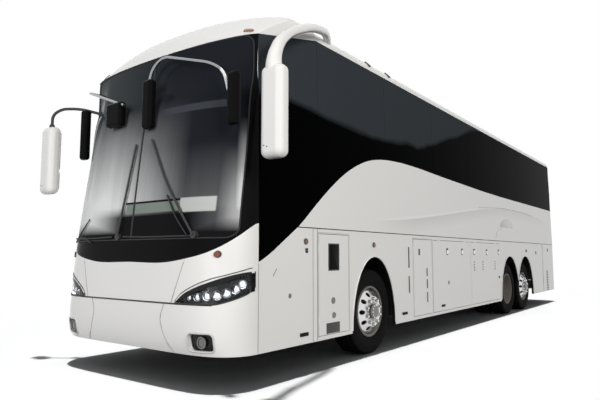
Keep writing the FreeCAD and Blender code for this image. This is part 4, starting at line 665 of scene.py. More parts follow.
def finish(name, colour, gloss=0.3, metal=0.0, film=(0.34, 0.31, 0.27), amount=0.3, low=0.25, high=1.2,
           patch=2.5, spread=0.1, grain=(250.0, 20.0, 0.3), bump=0.05, depth=0.0005, **shader):
    """Material with road film, patchy gloss and fine relief; gives its tree, film node and bump node."""
    material = bpy.data.materials.new(name)
    material.use_nodes = True
    tree = material.node_tree
    bsdf = tree.nodes["Principled BSDF"]
    fill(bsdf, {key.replace("_", " ").title().replace("Ior", "IOR"): value for key, value in shader.items()})
    bsdf.inputs["Metallic"].default_value = metal
    wear = group_node(tree, "weathering", {"Clean": colour, "Film": film, "Amount": amount, "Low": low,
                                           "High": high, "Scale": patch, "Gloss": gloss, "Spread": spread})
    relief = group_node(tree, "grain", dict(zip(("Scale", "Coarse", "Share"), grain)))
    bumps = fill(tree.nodes.new("ShaderNodeBump"), {"Strength": bump, "Distance": depth})
    for source, target in ((wear.outputs["Color"], bsdf.inputs["Base Color"]),
                           (wear.outputs["Roughness"], bsdf.inputs["Roughness"]),
                           (relief.outputs["Height"], bumps.inputs["Height"]),
                           (bumps.outputs["Normal"], bsdf.inputs["Normal"])):
        tree.links.new(source, target)
    MATERIALS[name] = material
    return tree, wear, bumps


def shown(name, group, values, colour, **shader):
    """Finish whose clean colour comes from a shared group."""
    tree, wear, bumps = finish(name, colour, **shader)
    view = group_node(tree, group, values)
    tree.links.new(view.outputs["Color"], wear.inputs["Clean"])
    return tree, view, bumps


def cloth(name, ground, fleck):
    """Woven seat cover."""
    tree, weave, bumps = shown(name, "weave", {"Ground": ground, "Fleck": fleck, "Scale": 700.0}, ground,
                               gloss=0.85, amount=0.05, bump=0.4, sheen_weight=0.3)
    tree.links.new(weave.outputs["Height"], bumps.inputs["Height"])


def wear_node(node, material):
    """Give one CAD node a finish."""
    slots = NODES[node].data.materials
    if len(slots):
        for i in range(len(slots)):
            slots[i] = MATERIALS[material]
    else:
        slots.append(MATERIALS[material])


def wear_part(node, material, wanted):
    """Give the faces of a CAD node that pass a test a second finish."""
    mesh = NODES[node].data
    mesh.materials.append(MATERIALS[material])
    for polygon in mesh.polygons:
        if wanted(polygon.center):
            polygon.material_index = len(mesh.materials) - 1


def arch_reach(axle, y, z):
    """How far a point lies from an arch's middle; 1 is on its edge."""
    return ((y - AXLES[axle]) / ARCH_HALF[axle]) ** 2 + ((z - ARCH_FOOT_Z) / ARCH_RISE) ** 2


def in_arch(c):
    """Whether a face of the side panel lines a wheel arch."""
    return abs(c.x) <= HALF - 0.0006 and any(arch_reach(axle, c.y, c.z) < 1.12 for axle in AXLES)


class CoachColours(bpy.types.PropertyGroup):
    """Colours that a user may change."""
    paint: FloatVectorProperty(name="Paint", description="Body paint", subtype="COLOR", size=3,
                               default=(0.80, 0.795, 0.78), min=0.0, max=1.0)
    glass: FloatVectorProperty(name="Glass", description="Tinted glass", subtype="COLOR", size=3,
                               default=(0.004, 0.0045, 0.0055), min=0.0, max=1.0)
    amber: FloatVectorProperty(name="Amber lenses", description="Marker lenses", subtype="COLOR", size=3,
                               default=(0.17, 0.042, 0.012), min=0.0, max=1.0)
    seats: FloatVectorProperty(name="Seats", description="Seat cover", subtype="COLOR", size=3,
                               default=(0.05, 0.07, 0.16), min=0.0, max=1.0)


class CoachSizes(bpy.types.PropertyGroup):
    """Sizes that a user may change."""
    tread_depth: FloatProperty(name="Tread depth", description="Depth of the tyre grooves", default=0.011,
                               min=0.002, max=0.016, unit="LENGTH", subtype="DISTANCE")
    tread_blocks: IntProperty(name="Tread blocks", description="Shoulder blocks round a tyre", default=72,
                              min=24, max=120)
    seal_width: FloatProperty(name="Seal width", description="Rubber seal round the windscreen",
                              default=0.014, min=0.004, max=0.03, unit="LENGTH", subtype="DISTANCE")


class COACH_OT_finishes(bpy.types.Operator):
    """Makes the finishes and gives every frame node its own"""
    bl_idname = "coach.finishes"
    bl_label = "Finishes"

    def execute(self, context):
        colours = context.scene.coach_colours
        GROUPS.update(weathering=weathering_group(), grain=grain_group(), tint=dark_glass_and_reflection_group(),
                      weave=weave_group(), screen=screen_group(), swage=swage_shade_group())
        paint, glass, amber = tuple(colours.paint), tuple(colours.glass), tuple(colours.amber)
        coat = {"gloss": 0.25, "high": 0.8, "spread": 0.03, "bump": 0.006, "coat_weight": 0.5,
                "coat_roughness": 0.05}
        pane = {"amount": 0.01, "bump": 0.006, "grain": (3.0, 1.0, 0.5), "depth": 0.003}
        lens = {"gloss": 0.12, "amount": 0.05, "coat_weight": 0.6, "bump": 0.2}
        # Dark tint of the side glass, and the colour of the painted reflection band above it
        tint = {"Dark": tuple(c * 0.2 for c in glass), "Light": (0.040, 0.047, 0.054), "Height": 2.62}
        finish("Body paint", paint, amount=0.02, **coat)
        # Side walls carry the painted shade and highlight along the swage
        shown("Side paint", "swage", {"Paint": paint}, paint, amount=0.03, **coat)
        # Darker grey for the fog lamp rings, and as painted shade on the pressed arch
        finish("Pressed panel", (0.60, 0.595, 0.58), gloss=0.3, amount=0.04, bump=0.01, coat_weight=0.4,
               coat_roughness=0.06)
        shown("Side glass", "tint", tint, glass, gloss=0.04, specular_ior_level=0.002, **pane)
        # The windscreen shows a painted reflection and a painted view of the cabin
        shown("Screen glass", "screen", {}, glass, gloss=0.03, specular_ior_level=0.012, **pane)
        finish("Black gloss", (0.005, 0.005, 0.0055), gloss=0.16, amount=0.03, specular_ior_level=0.03)
        finish("Lamp housing", (0.006, 0.006, 0.007), gloss=0.22, amount=0.0, bump=0.02,
               specular_ior_level=0.25)
        finish("Arch liner", (0.004, 0.004, 0.004), gloss=0.85, amount=0.10, film=(0.03, 0.028, 0.025),
               bump=0.3, specular_ior_level=0.1)
        finish("Arm metal", (0.34, 0.35, 0.36), gloss=0.14, metal=1.0, amount=0.05, spread=0.05, bump=0.02)
        finish("Hub metal", (0.17, 0.17, 0.175), gloss=0.32, metal=1.0, amount=0.35, high=1.0, patch=16.0,
               spread=0.25, grain=(500.0, 60.0, 0.6), bump=0.25)
        finish("Fog glass", (0.10, 0.105, 0.11), gloss=0.06, amount=0.02, coat_weight=0.8, bump=0.02)
        finish("Black rubber", (0.014, 0.014, 0.015), gloss=0.62, amount=0.25, grain=(600.0, 60.0, 0.4),
               bump=0.25)
        finish("Tyre rubber", (0.005, 0.005, 0.0055), gloss=0.8, amount=0.25, film=(0.024, 0.022, 0.020),
               high=1.3, low=0.0, patch=9.0, grain=(420.0, 35.0, 0.6), bump=0.35, depth=0.001,
               specular_ior_level=0.06)
        finish("Alloy", (0.72, 0.725, 0.73), gloss=0.26, metal=1.0, amount=0.18, high=0.9, patch=14.0,
               spread=0.2, grain=(900.0, 60.0, 0.5), bump=0.12)
        finish("Chrome", (0.80, 0.81, 0.82), gloss=0.07, metal=1.0, amount=0.05, spread=0.05, bump=0.02)
        # Dark metal for frames, axles and seat parts, and as painted shade on the rims' outer flanges
        finish("Dark metal", (0.035, 0.035, 0.038), gloss=0.5, amount=0.5, high=1.6, patch=6.0, bump=0.3,
               grain=(160.0, 25.0, 0.6), depth=0.001)
        finish("Dark plastic", (0.028, 0.028, 0.030), gloss=0.55, amount=0.12, grain=(800.0, 90.0, 0.3),
               bump=0.35)
        finish("Grey plastic", (0.30, 0.30, 0.30), gloss=0.5, amount=0.1, grain=(700.0, 80.0, 0.3), bump=0.25)
        finish("Floor covering", (0.10, 0.10, 0.105), gloss=0.6, amount=0.2, grain=(900.0, 30.0, 0.8),
               bump=0.3)
        finish("Amber lens", amber, grain=(150.0, 60.0, 0.5), **lens)
        finish("Red lens", (0.42, 0.012, 0.012), grain=(150.0, 60.0, 0.5), **lens)
        finish("White lens", (0.75, 0.76, 0.77), **lens)
        finish("Clear lens", (0.97, 0.98, 0.99), gloss=0.03, amount=0.0, spread=0.01, transmission_weight=1.0,
               ior=1.12, bump=0.01)
        finish("Bulb lens", (0.78, 0.82, 0.86), gloss=0.05, amount=0.0, spread=0.02, coat_weight=1.0,
               bump=0.01)
        finish("Mirror glass", (0.62, 0.65, 0.68), gloss=0.03, metal=1.0, amount=0.02, spread=0.01, bump=0.01)
        cloth("Cabin cloth", tuple(colours.seats), (0.22, 0.25, 0.36))
        finish("Seam line", (0.012, 0.012, 0.012), gloss=0.6, amount=0.05)
        finish("Soft line", (0.30, 0.295, 0.285), gloss=0.5, amount=0.1)
        given = {
            "Side glass": ("side_glass_left", "side_glass_right", "rear_glass", "entry_door_glass"),
            "Screen glass": ("windscreen",),
            "Black gloss": ("front_mask", "screen_mirrors"),
            "Clear lens": ("headlamp_lenses",),
            "Lamp housing": ("headlamps", "fog_lamps"),
            "Side paint": ("side_wall_left", "side_wall_right"),
            "Dark plastic": ("dash", "wheelhouses", "luggage_bays", "steering_wheel", "wipers"),
            "Arm metal": ("mirror_arms",),
            "Red lens": ("rear_lamps",),
            "Amber lens": ("marker_lamps",),
            "Tyre rubber": tuple(n for n in NODES if n.startswith("tyre")),
            "Alloy": tuple(n for n in NODES if n.startswith("wheel_")),
            "Dark metal": ("underframe", "axles", "knuckle_left", "knuckle_right", "engine_block"),
            "Floor covering": ("cabin_floor",),
            "Cabin cloth": ("driver_seat", "passenger_seats"),
        }
        for material, names in given.items():
            for n in names:
                wear_node(n, material)
        done = {n for names in given.values() for n in names}
        for n in NODES:
            if n not in done:
                wear_node(n, "Body paint")
        wear_part("mirror_arms", "Dark metal", lambda c: c.x < -1.1 and c.z < 2.98)
        wear_part("mirror_arms", "Body paint", lambda c: c.x > 1.05)
        wear_part("marker_lamps", "Black gloss", lambda c: c.z < 0.6)
        for node in ("side_panel_left", "side_panel_right"):
            wear_part(node, "Arch liner", in_arch)
        # Painted shade: each rim's outer flange takes the dark metal; the middle takes the hub metal
        for (axle, y), (side, _) in product(AXLES.items(), SIDES):
            node = "wheel_" + axle + "_" + side
            wear_part(node, "Dark metal", lambda c, y=y: math.hypot(c.y - y, c.z - TYRE_R) > RIM_SHADE_R)
            wear_part(node, "Hub metal", lambda c, y=y: math.hypot(c.y - y, c.z - TYRE_R) < HUB_SEEN_R)
        return {"FINISHED"}


def tyre_shape(sizes):
    """Tyre on the X axis at the origin, with ribs, grooves and shoulder blocks."""
    depth = sizes.tread_depth
    right = [(0.2868, 0.112), (0.2985, 0.1165), (0.303, 0.1235), (0.318, 0.131), (0.337, 0.1375),
             (0.3395, 0.1395), (0.3425, 0.1375), (0.372, 0.1425), (0.405, 0.1432), (0.4085, 0.1440),
             (0.412, 0.1425), (0.440, 0.1405), (0.463, 0.1345), (0.4655, 0.1355), (0.468, 0.133),
             (0.4835, 0.1275), (0.4905, 0.1215), (0.4955, 0.112)]
    crown = [(0.4955, 0.088), (0.4955 - depth, 0.086), (0.4955 - depth, 0.076), (0.4985, 0.074),
             (0.4990, 0.046), (0.4990 - depth, 0.0445), (0.4990 - depth, 0.034), (0.4993, 0.0325),
             (0.4995, 0.006), (0.4995 - depth, 0.0045)]
    half = right + crown
    profile = half + [(r, -h) for r, h in reversed(half)] + half[:1]
    bm = lathe(profile, (0, 0, 0), X_AXIS, sizes.tread_blocks * 2)
    shoulder = []
    for f in bm.faces:
        c = f.calc_center_median()
        step = int((math.atan2(c.z, c.y) / (2 * math.pi) + 0.5) * sizes.tread_blocks * 2)
        if step % 2 == 0 and 0.092 < abs(c.x) < 0.1285 and math.hypot(c.y, c.z) > 0.482:
            shoulder.append(f)
    for f in bmesh.ops.extrude_discrete_faces(bm, faces=shoulder)["faces"]:
        c = f.calc_center_median()
        inward = Vector((0, -c.y, -c.z)).normalized() * depth * 0.8
        bmesh.ops.translate(bm, vec=inward, verts=list(f.verts))
    return bm


class COACH_OT_tyres(bpy.types.Operator):
    """Makes the treaded tyres that stand for the plain ones"""
    bl_idname = "coach.tyres"
    bl_label = "Tyres"

    def execute(self, context):
        master = tyre_shape(context.scene.coach_sizes)
        for (axle, y), (side, sign) in product(AXLES.items(), SIDES):
            twin = axle == "drive"
            node = ("tyres_" if twin else "tyre_") + axle + "_" + side
            piece = Piece("treaded_" + node, "wheel_" + axle + "_" + side, 28.0)
            for x in (WHEEL_X, WHEEL_X - TWIN)[:1 + twin]:
                copy = master.copy()
                bmesh.ops.translate(copy, vec=(sign * x, y, TYRE_R), verts=copy.verts)
                piece.add(copy, "Tyre rubber")
            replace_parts(piece.done("rubber_tyre"), node)
        master.free()
        return {"FINISHED"}


class COACH_OT_wheels(bpy.types.Operator):
    """Makes wheel nuts, hub caps and valve stems"""
    bl_idname = "coach.wheels"
    bl_label = "Wheels"

    def execute(self, context):
        for (axle, y), (side, sign) in product(AXLES.items(), SIDES):
            twin = axle == "drive"
            face = WHEEL_X - TWIN / 2 + 0.014 if twin else WHEEL_X + TWIN / 2
            cap = face + (0.136 if twin else 0.042)
            out = X_AXIS * sign
            middle = Vector((sign * face, y, TYRE_R))
            piece = Piece("hub_fittings_" + axle + "_" + side, "wheel_" + axle + "_" + side)
            piece.add(lathe(HUB_CAP, Vector((sign * cap, y, TYRE_R)), out, 40), "Hub metal")
            for places, x, profile, steps, material in (
                    (circle(10, 0.150), face, WASHER, 20, "Hub metal"),
                    (circle(10, 0.150), face, WHEEL_NUT, 6, "Chrome"),
                    (circle(12, 0.074, 0.0), cap - 0.004, CAP_NUT, 6, "Chrome"),
                    (circle(20, 0.117), face, SMALL_NUT, 6, "Chrome")):
                for v, w in places:
                    piece.add(lathe(profile, Vector((sign * x, y + v, TYRE_R + w)), out, steps), material)
            piece.add(lathe([(0.176, 0.0), (0.179, 0.003), (0.182, 0.0)], middle, out, 60), "Alloy")
            a = math.radians(100)
            foot = middle + Vector((sign * -0.03, 0.232 * math.cos(a), 0.232 * math.sin(a)))
            piece.add(rod(foot, foot + out * 0.055, 0.0045, 10, 0.001), "Chrome")
            piece.done("wheel_alloy")
        return {"FINISHED"}


class COACH_OT_lamps(bpy.types.Operator):
    """Makes the headlamp projectors and their borders, fog lamps and clearance lamps"""
    bl_idname = "coach.lamps"
    bl_label = "Lamps"

    def execute(self, context):
        self.projectors()
        self.borders()
        self.fog_lamps()
        self.clearance_lamps()
        return {"FINISHED"}

    def projectors(self):
        """Bright bowls and domes in a row along the headlamp."""
        piece = Piece("headlamp_projectors")
        for x, z, r in PROJECTORS:
            at, normal = on_front(x, z)
            out = (normal * 6.0 - Y_AXIS).normalized()
            seat = at - normal * 0.020
            k = r / PROJECTOR_R
            bowl = [(0.0, -0.002), (0.022 * k, 0.000), (0.031 * k, 0.006), (0.0335 * k, 0.0105), (r, 0.011),
                    (r, 0.002)]
            dome = [(0.0, 0.013), (0.010 * k, 0.0122), (0.018 * k, 0.0095), (0.024 * k, 0.005),
                    (0.0255 * k, 0.001), (0.0, 0.001)]
            piece.add(lathe(bowl, seat, out, 36), "Arm metal", True)
            piece.add(lathe(dome, seat, out, 36), "Bulb lens", True)
        piece.done("bright_metal")

    def borders(self):
        """Bezel, painted brow and dark lines round each headlamp."""
        inner = [(0.724, 0.7690)] + [(x, z + 0.005) for x, z in LAMP_ABOVE[1:-1]] + [(1.276, 1.020)]
        outer = [(0.713, 0.7735)] + [(x, z - 0.007) for x, z in LAMP_BROW[1:-1]] + [(1.276, 1.035)]
        for name, low, high, lift, thick, material in (
                ("lamp_bezel_", LAMP_BELOW, LAMP_ABOVE, 0.0016, 0.002, "Lamp housing"),
                ("lamp_brow_", inner, outer, 0.003, 0.004, "Body paint")):
            lines = nose_line(low, lift), nose_line(high, lift)
            band(name + "left", *lines, thick, material)
            band(name + "right", *map(mirrored, lines), thick, material)
        cord_pair("brow_line_%s", nose_line(LAMP_BROW), 0.0045, "Seam line")
        cord_pair("lamp_foot_%s", nose_line(LAMP_UNDER), 0.0065, "Seam line")
        rear = [(HALF + LINE_PROUD, LAMP_REAR_Y, z) for z in (0.880, 0.95, 1.021)]
        cord_pair("lamp_edge_%s", rear, 0.005, "Seam line")

    def fog_lamps(self):
        """Rim and glass of both fog lamps."""
        at = on_front(*FOG_LAMP, ("fog_lamps",))[0]
        rim = [(0.040, 0.0), (0.040, 0.010), (0.050, 0.012), (0.055, 0.006), (0.055, 0.0)]
        glass = [(0.0, 0.013), (0.015, 0.0122), (0.030, 0.009), (0.0405, 0.003), (0.0405, 0.0), (0.0, 0.0)]
        piece = Piece("fog_lamp_lenses")
        piece.add(lathe(rim, at, -Y_AXIS, 40), "Hub metal", True)
        piece.add(lathe(glass, at, -Y_AXIS, 40), "Fog glass", True)
        piece.done("clear_lens")

    def clearance_lamps(self):
        """Amber lenses over the windscreen, rings above the headlamps and dark lamps on the roof's edge."""
        piece = Piece("clearance_lamps")
        piece.add(tile(rounded(0.056, 0.027, 0.025, 5), 0.012, *on_front(1.14, 3.285), 0.002, 0.006),
                  "Amber lens", True)
        ring = [(0.026, -0.004), (0.0315, -0.004), (0.0315, 0.009), (0.028, 0.0135), (0.026, 0.012)]
        piece.add(lathe(ring, *on_front(1.11, 1.172), 36), "Dark plastic", True)
        for y in (-3.514, -2.99):
            at, normal = on_side(y, 3.545)
            place = facing(at - normal * 0.002, normal) @ Matrix.Rotation(math.pi / 2, 4, "Z")
            piece.add(plate(rounded(0.028, 0.055, 0.027, 6), 0.012, place, 0.005), "Dark plastic", True)
        piece.done("amber_lens")


def latch(piece, y, z):
    """Recessed paddle latch on the lower left side."""
    piece.add(plate(rounded(0.034, 0.052, 0.012), 0.004, on_wall(y, z), 0.0015), "Dark plastic")
    piece.add(plate(rounded(0.024, 0.030, 0.008), 0.008, on_wall(y, z - 0.008), 0.002), "Chrome")


def side_plate(piece, y0, y1, z0, z1, proud, radius=0.012, material="Dark plastic", mirror=False):
    """Flat fitting on the lower left side between two corners, and on the right side if asked."""
    half_y, half_z = (y1 - y0) / 2, (z1 - z0) / 2
    outline = rounded(half_y, half_z, min(radius, half_y * 0.9, half_z * 0.9))
    place = on_wall((y0 + y1) / 2, (z0 + z1) / 2)
    piece.add(plate(outline, proud + 0.001, place, proud * 0.4), material, mirror)


class COACH_OT_side_fittings(bpy.types.Operator):
    """Makes latches, vents, locks, lines and lips on both sides"""
    bl_idname = "coach.side_fittings"
    bl_label = "Side fittings"

    def execute(self, context):
        self.doors()
        self.panels()
        for side, index in product(("left", "right"), LUGGAGE_FITTINGS):
            self.luggage_door(side, index)
        self.lines()
        self.lips()
        return {"FINISHED"}

    def doors(self):
        """Locks, vent and plates of the service door and the narrow door."""
        piece = Piece("service_door_fittings", "service_door")
        side_plate(piece, -4.512, -4.303, 1.000, 1.290, 0.004, 0.010)
        side_plate(piece, -4.500, -4.315, 1.012, 1.278, 0.006, 0.008, "Black gloss")
        for y, z, r in ((-4.423, 0.687, 0.034), (-4.411, 0.533, 0.031)):
            lock = [(0.0, 0.008), (r * 0.45, 0.007), (r * 0.8, 0.003), (r, 0.006), (r * 1.05, 0.0)]
            piece.add(button(lock, y, z), "Hub metal")
        side_plate(piece, -4.553, -4.302, 0.352, 0.461, 0.004, 0.008)
        for i in range(5):
            z = 0.376 + i * 0.0175
            side_plate(piece, -4.540, -4.315, z, z + 0.008, 0.0055, 0.002, "Seam line")
        piece.done("dark_plastic")
        piece = Piece("side_door_fittings", "side_door")
        side_plate(piece, -2.272, -2.236, 1.165, 1.255, 0.006)
        for z0, z1 in ((0.870, 0.985), (0.700, 0.830), (0.510, 0.650)):
            side_plate(piece, -2.018, -1.992, z0, z1, 0.005, 0.008)
        piece.done("dark_plastic")

    def panels(self):
        """Plates, louvres, markers and the pressed arch of the fixed side panels, the arch in a darker grey
        that is painted shade.
        """
        piece = Piece("side_panel_fittings")
        for y0, y1, z0, z1, radius, both in (
                (-2.598, -2.572, 0.996, 1.275, 0.008, True), (-2.598, -2.572, 0.667, 0.890, 0.008, True),
                (-4.921, -4.877, 1.187, 1.235, 0.006, False), (5.262, 5.330, 1.260, 1.335, 0.006, True),
                (4.120, 4.168, 1.185, 1.262, 0.006, True)):
            side_plate(piece, y0, y1, z0, z1, 0.005, radius, mirror=both)
        for i in range(12):
            z = 0.325 + i * 0.040
            side_plate(piece, 5.105, 5.245, z, z + 0.022, 0.004, 0.004, mirror=True)
        lock = [(0.0, 0.007), (0.010, 0.006), (0.018, 0.003), (0.022, 0.004), (0.024, 0.0)]
        piece.add(button(lock, -5.170, 0.778), "Hub metal")
        x = HALF + 0.0005
        piece.add(rod((x, -5.371, 1.042), (x, -5.420, 0.972), 0.005, 10, 0.001), "Soft line")
        # Pressed arch as a thin plate, its darker grey a painted shade
        turns = [math.pi * i / 24 for i in range(25)]
        hump = [(1.95 + 0.44 * math.cos(a), 1.715 + 0.175 * math.sin(a)) for a in turns]
        piece.add(plate(hump, 0.004, on_wall(0, 0, wall_x(1.715) - 0.001), 0.0015), "Pressed panel", True)
        for y, z, both in ((-4.914, 1.301, False), (-3.533, 1.287, True), (3.314, 1.265, True)):
            piece.add(button(MARKER_RING, y, z, 32), "Dark plastic", both)
        piece.done("dark_plastic")

    def luggage_door(self, side, index):
        """Latches and vents of one luggage door, drawn on the left and turned over for the right."""
        latches, vents = LUGGAGE_FITTINGS[index]
        body = "luggage_door_%s_%d" % (side, index)
        piece = Piece(body + "_fittings", body)
        for y in latches:
            latch(piece, y, LATCH_Z)
        for y in vents:
            for k in range(4):
                z = 0.905 + k * 0.045
                side_plate(piece, y - 0.020, y + 0.020, z, z + 0.020, 0.004, 0.004)
        if index == 1:
            piece.add(button([(0.0, 0.006), (0.018, 0.006), (0.028, 0.003), (0.030, 0.0)], -1.2, 0.75),
                      "Hub metal")
            side_plate(piece, -1.505, -1.375, 0.402, 0.436, 0.010, 0.006, "Black gloss")
        else:
            side_plate(piece, 1.278, 1.354, 0.735, 0.772, 0.006, 0.008)
        if side == "right":
            bmesh.ops.scale(piece.bm, vec=(-1, 1, 1), verts=piece.bm.verts)
            bmesh.ops.reverse_faces(piece.bm, faces=piece.bm.faces[:])
        piece.done("dark_plastic")

    def lines(self):
        """Belt line, panel lines, door frames, and grey lines of painted shade along the crease and the
        pressed arch's tail.
        """
        x = HALF + LINE_PROUD
        for side, sign in SIDES:
            start = -5.04 if sign > 0 else -4.69
            belt = [(sign * x, y, BELT_Z) for y in (start, -2.0, 2.0, REAR_SEAM_Y)]
            cord_line("belt_line_" + side, belt, 0.0055, "Seam line")
        cord_pair("corner_seam_%s", [(x, SEAM_Y, z) for z in (0.31, 0.70, 1.09)], 0.0038, "Soft line")
        joint = [[(x, y, z) for z in (0.31, 0.9, 1.432)] for y in (4.758, -4.790, -4.714)]
        cord_pair("panel_line_%s_0", joint[0], 0.0036, "Soft line")
        for k in (1, 2):
            cord_line("panel_line_left_%d" % k, joint[k], 0.0036, "Soft line")
        for k, (y0, y1) in enumerate(((-4.704, -4.098), (-2.456, -1.810))):
            corners = [(x, y1, 0.335), (x, y1, 1.399), (x, y0, 1.399), (x, y0, 0.335)]
            cord_line("door_frame_left_%d" % k, corners, 0.0028, "Soft line")
        # Grey line of painted shade along the tail of the pressed arch
        wave = wall_line(((1.62, 1.690), (1.40, 1.655), (1.277, 1.609), (1.202, 1.493)), 6)
        cord_pair("panel_tail_%s", wave, 0.0026, "Soft line")
        # Grey cord of painted shade along the crease
        crease = wall_line(((0.3, 2.005), (0.91, 2.048), (1.6, 2.085), (2.4, 2.10), (3.2, 2.092),
                            (3.95, 2.071)), 8)
        cord_pair("side_crease_%s", crease, 0.004, "Soft line")

    def lips(self):
        """Rolled lips round the wheel arches; the two rear arches run into each other."""
        for axle, half in ARCH_HALF.items():
            points = []
            for i in range(49):
                a = math.pi * i / 48
                y, z = AXLES[axle] + half * math.cos(a), ARCH_FOOT_Z + ARCH_RISE * math.sin(a)
                if axle not in ARCH_MERGES or arch_reach(ARCH_MERGES[axle], y, z) >= 1.0:
                    points.append((HALF + 0.001, y, z))
            cord_pair("arch_lip_" + axle + "_%s", points, 0.009, "Body paint", sides=4)


class COACH_OT_front_trim(bpy.types.Operator):
    """Makes the windscreen seal, the seams of the nose, the fog lamp rims and the wiper blades"""
    bl_idname = "coach.front_trim"
    bl_label = "Front trim"

    def execute(self, context):
        self.screen(context.scene.coach_sizes.seal_width)
        self.seams()
        self.wipers()
        return {"FINISHED"}

    def screen(self, width):
        """Seal round the windscreen and bead down its middle."""
        outline = rounded(*SCREEN_HALF, 0.09, 8)
        dense = []
        for a, b in zip(outline, outline[1:] + outline[:1]):
            steps = max(1, int(math.dist(a, b) / 0.05))
            dense += [(a[0] + (b[0] - a[0]) * i / steps, SCREEN_MID_Z + (a[1] + (b[1] - a[1]) * i / steps))
                      for i in range(steps)]
        cord_line("windscreen_seal", lifted(dense, 0.001), width / 2, "Black rubber", closed=True)
        low, high = BEAD_Z
        heights = [low + i * (high - low) / 39 for i in range(40)]
        rows = [on_front(0.0, z, ("front_mask", "windscreen"))[0] for z in heights]
        step = on_front(0.02, 2.2)[0].y - on_front(0.0, 2.2, ("front_mask",))[0].y
        cord_line("windscreen_bead", [Vector((0.0, at.y + step, at.z)) for at in rows], 0.011, "Black rubber")

    def seams(self):
        """Joints between bumper, fascia and corners, and the rims of the fog lamps."""
        cord_line("bumper_seam",
                  nose_line([(x, BUMPER_SEAM_Z) for x in (-1.09, -0.6, 0.0, 0.6, 1.09)], 0.0, 14), 0.0075,
                  "Seam line")
        bumper = [(HALF * s, SKIRT_Z + (BUMPER_TOP_Z - SKIRT_Z) * r) for s, r in (
            (0.505, 0.03), (0.465, 0.20), (0.432, 0.39), (0.402, 0.66), (0.408, 0.80), (0.433, 0.985))]
        fascia = [(HALF * s, BUMPER_TOP_Z + FASCIA_RISE * r) for s, r in (
            (0.503, 0.01), (0.555, 0.28), (0.588, 0.45), (0.600, 0.513))]
        cord_pair("bumper_split_%s", nose_line(bumper, 0.0, 4), 0.0035, "Soft line")
        cord_pair("fascia_split_%s", nose_line(fascia, 0.0, 4), 0.0035, "Soft line")
        x, z = FOG_LAMP
        rim = nose_line([(x + u, z + v) for u, v in rounded(0.124, 0.080, 0.040, 3)], 0.0, 2)
        cord_pair("fog_rim_%s", rim, 0.009, "Pressed panel", closed=True)

    def wipers(self):
        """Rubber blades along the foot of the windscreen and the parts that hold them."""
        for name, stations, lift, steps, radius in (
                ("blade_right", ((0.93, 1.335), (0.30, 1.335), (-0.12, 1.345)), 0.012, 10, 0.008),
                ("blade_left", ((-0.30, 1.345), (-0.75, 1.335), (-1.10, 1.345)), 0.012, 10, 0.008),
                ("stay", ((0.800, 1.345), (0.640, 1.52), (0.500, 1.72)), 0.020, 6, 0.007),
                ("hook", ((-1.02, 1.30), (-0.86, 1.43), (-0.74, 1.54)), 0.020, 6, 0.007),
                ("grip", ((-1.00, 1.33), (-0.80, 1.345), (-0.66, 1.29)), 0.020, 6, 0.007)):
            cord_line("wiper_" + name, nose_line(stations, lift, steps), radius, "Black rubber")


def pad(size, crown, place, channels=True):
    """Cage of a stuffed pad: crowned on top, pulled in between its corners, with sewn channels."""
    long, wide, tall = size
    bm = bmesh.new()
    bmesh.ops.create_cube(bm, size=1.0)
    bmesh.ops.subdivide_edges(bm, edges=bm.edges[:], cuts=3, use_grid_fill=True)
    for v in bm.verts:
        u, w, t = v.co
        pull = 1.0 - 0.03 * (1.0 - min(abs(u), abs(w)) * 2)
        pull_u, pull_w = [pull if abs(c) > 0.49 else 1.0 for c in (u, w)]
        v.co = Vector((u * long * pull_u, w * wide * pull_w, t * tall))
        if t > 0.49:
            v.co.z += crown * (1.0 - (max(abs(u), abs(w)) * 2) ** 2)
            if channels and 0.2 < abs(u) < 0.3:
                v.co.z -= crown * 0.9
    crease = bm.edges.layers.float.new("crease_edge")
    for e in bm.edges:
        if all(abs(abs(v.co.z) - tall / 2) < crown and max(abs(v.co.x) / long, abs(v.co.y) / wide) > 0.47
               for v in e.verts):
            e[crease] = 0.45
    bmesh.ops.transform(bm, matrix=place, verts=bm.verts)
    return bm


def seat_places():
    """Middle of the front edge of every passenger's place: (x, y, floor height, width)."""
    rows = [SEAT_FIRST_Y + row * SEAT_PITCH for row in range(SEAT_ROWS)]
    return [(x, y, CABIN_FLOOR_Z, SEAT_WIDTH) for y in rows for x in SEAT_X]


def leaning(x, y, z, turn):
    """Matrix at a point, turned about X by an angle."""
    return Matrix.Translation((x, y, z)) @ Matrix.Rotation(turn, 4, "X")


def seat_pads(x, y, floor, width):
    """Cushion, back pad and head pad of one place."""
    top, back_y, upright = floor + SEAT_TOP, y + SEAT_DEPTH, math.pi / 2 - SEAT_LEAN
    return (pad((width, 0.40, 0.105), 0.018, Matrix.Translation((x, y + 0.205, top - 0.066))),
            pad((width, 0.53, 0.075), 0.014, leaning(x, back_y - 0.010, top + 0.235, upright)),
            pad((width * 0.78, 0.165, 0.065), 0.010, leaning(x, back_y + 0.055, top + 0.600, upright), False))


def seat_frame(x, y, floor, width):
    """Pan, leg and foot of one place, and the shell behind its back."""
    top = floor + SEAT_TOP
    shell = block((-width * 0.47, -0.006, -0.36), (width * 0.47, 0.006, 0.36), 0.005)
    place = leaning(x, y + SEAT_DEPTH + 0.018, top + 0.30, -SEAT_LEAN)
    bmesh.ops.transform(shell, matrix=place, verts=shell.verts)
    half = width * 0.46
    pan = block((x - half, y + 0.03, top - 0.128), (x + half, y + 0.44, top - 0.117), 0.004)
    leg = rod((x, y + 0.26, floor + 0.002), (x, y + 0.26, top - 0.125), 0.024, 14, 0.002)
    foot = block((x - 0.09, y + 0.16, floor + 0.001), (x + 0.09, y + 0.36, floor + 0.012), 0.004)
    return (pan, "Dark metal"), (leg, "Dark metal"), (foot, "Dark metal"), (shell, "Grey plastic")


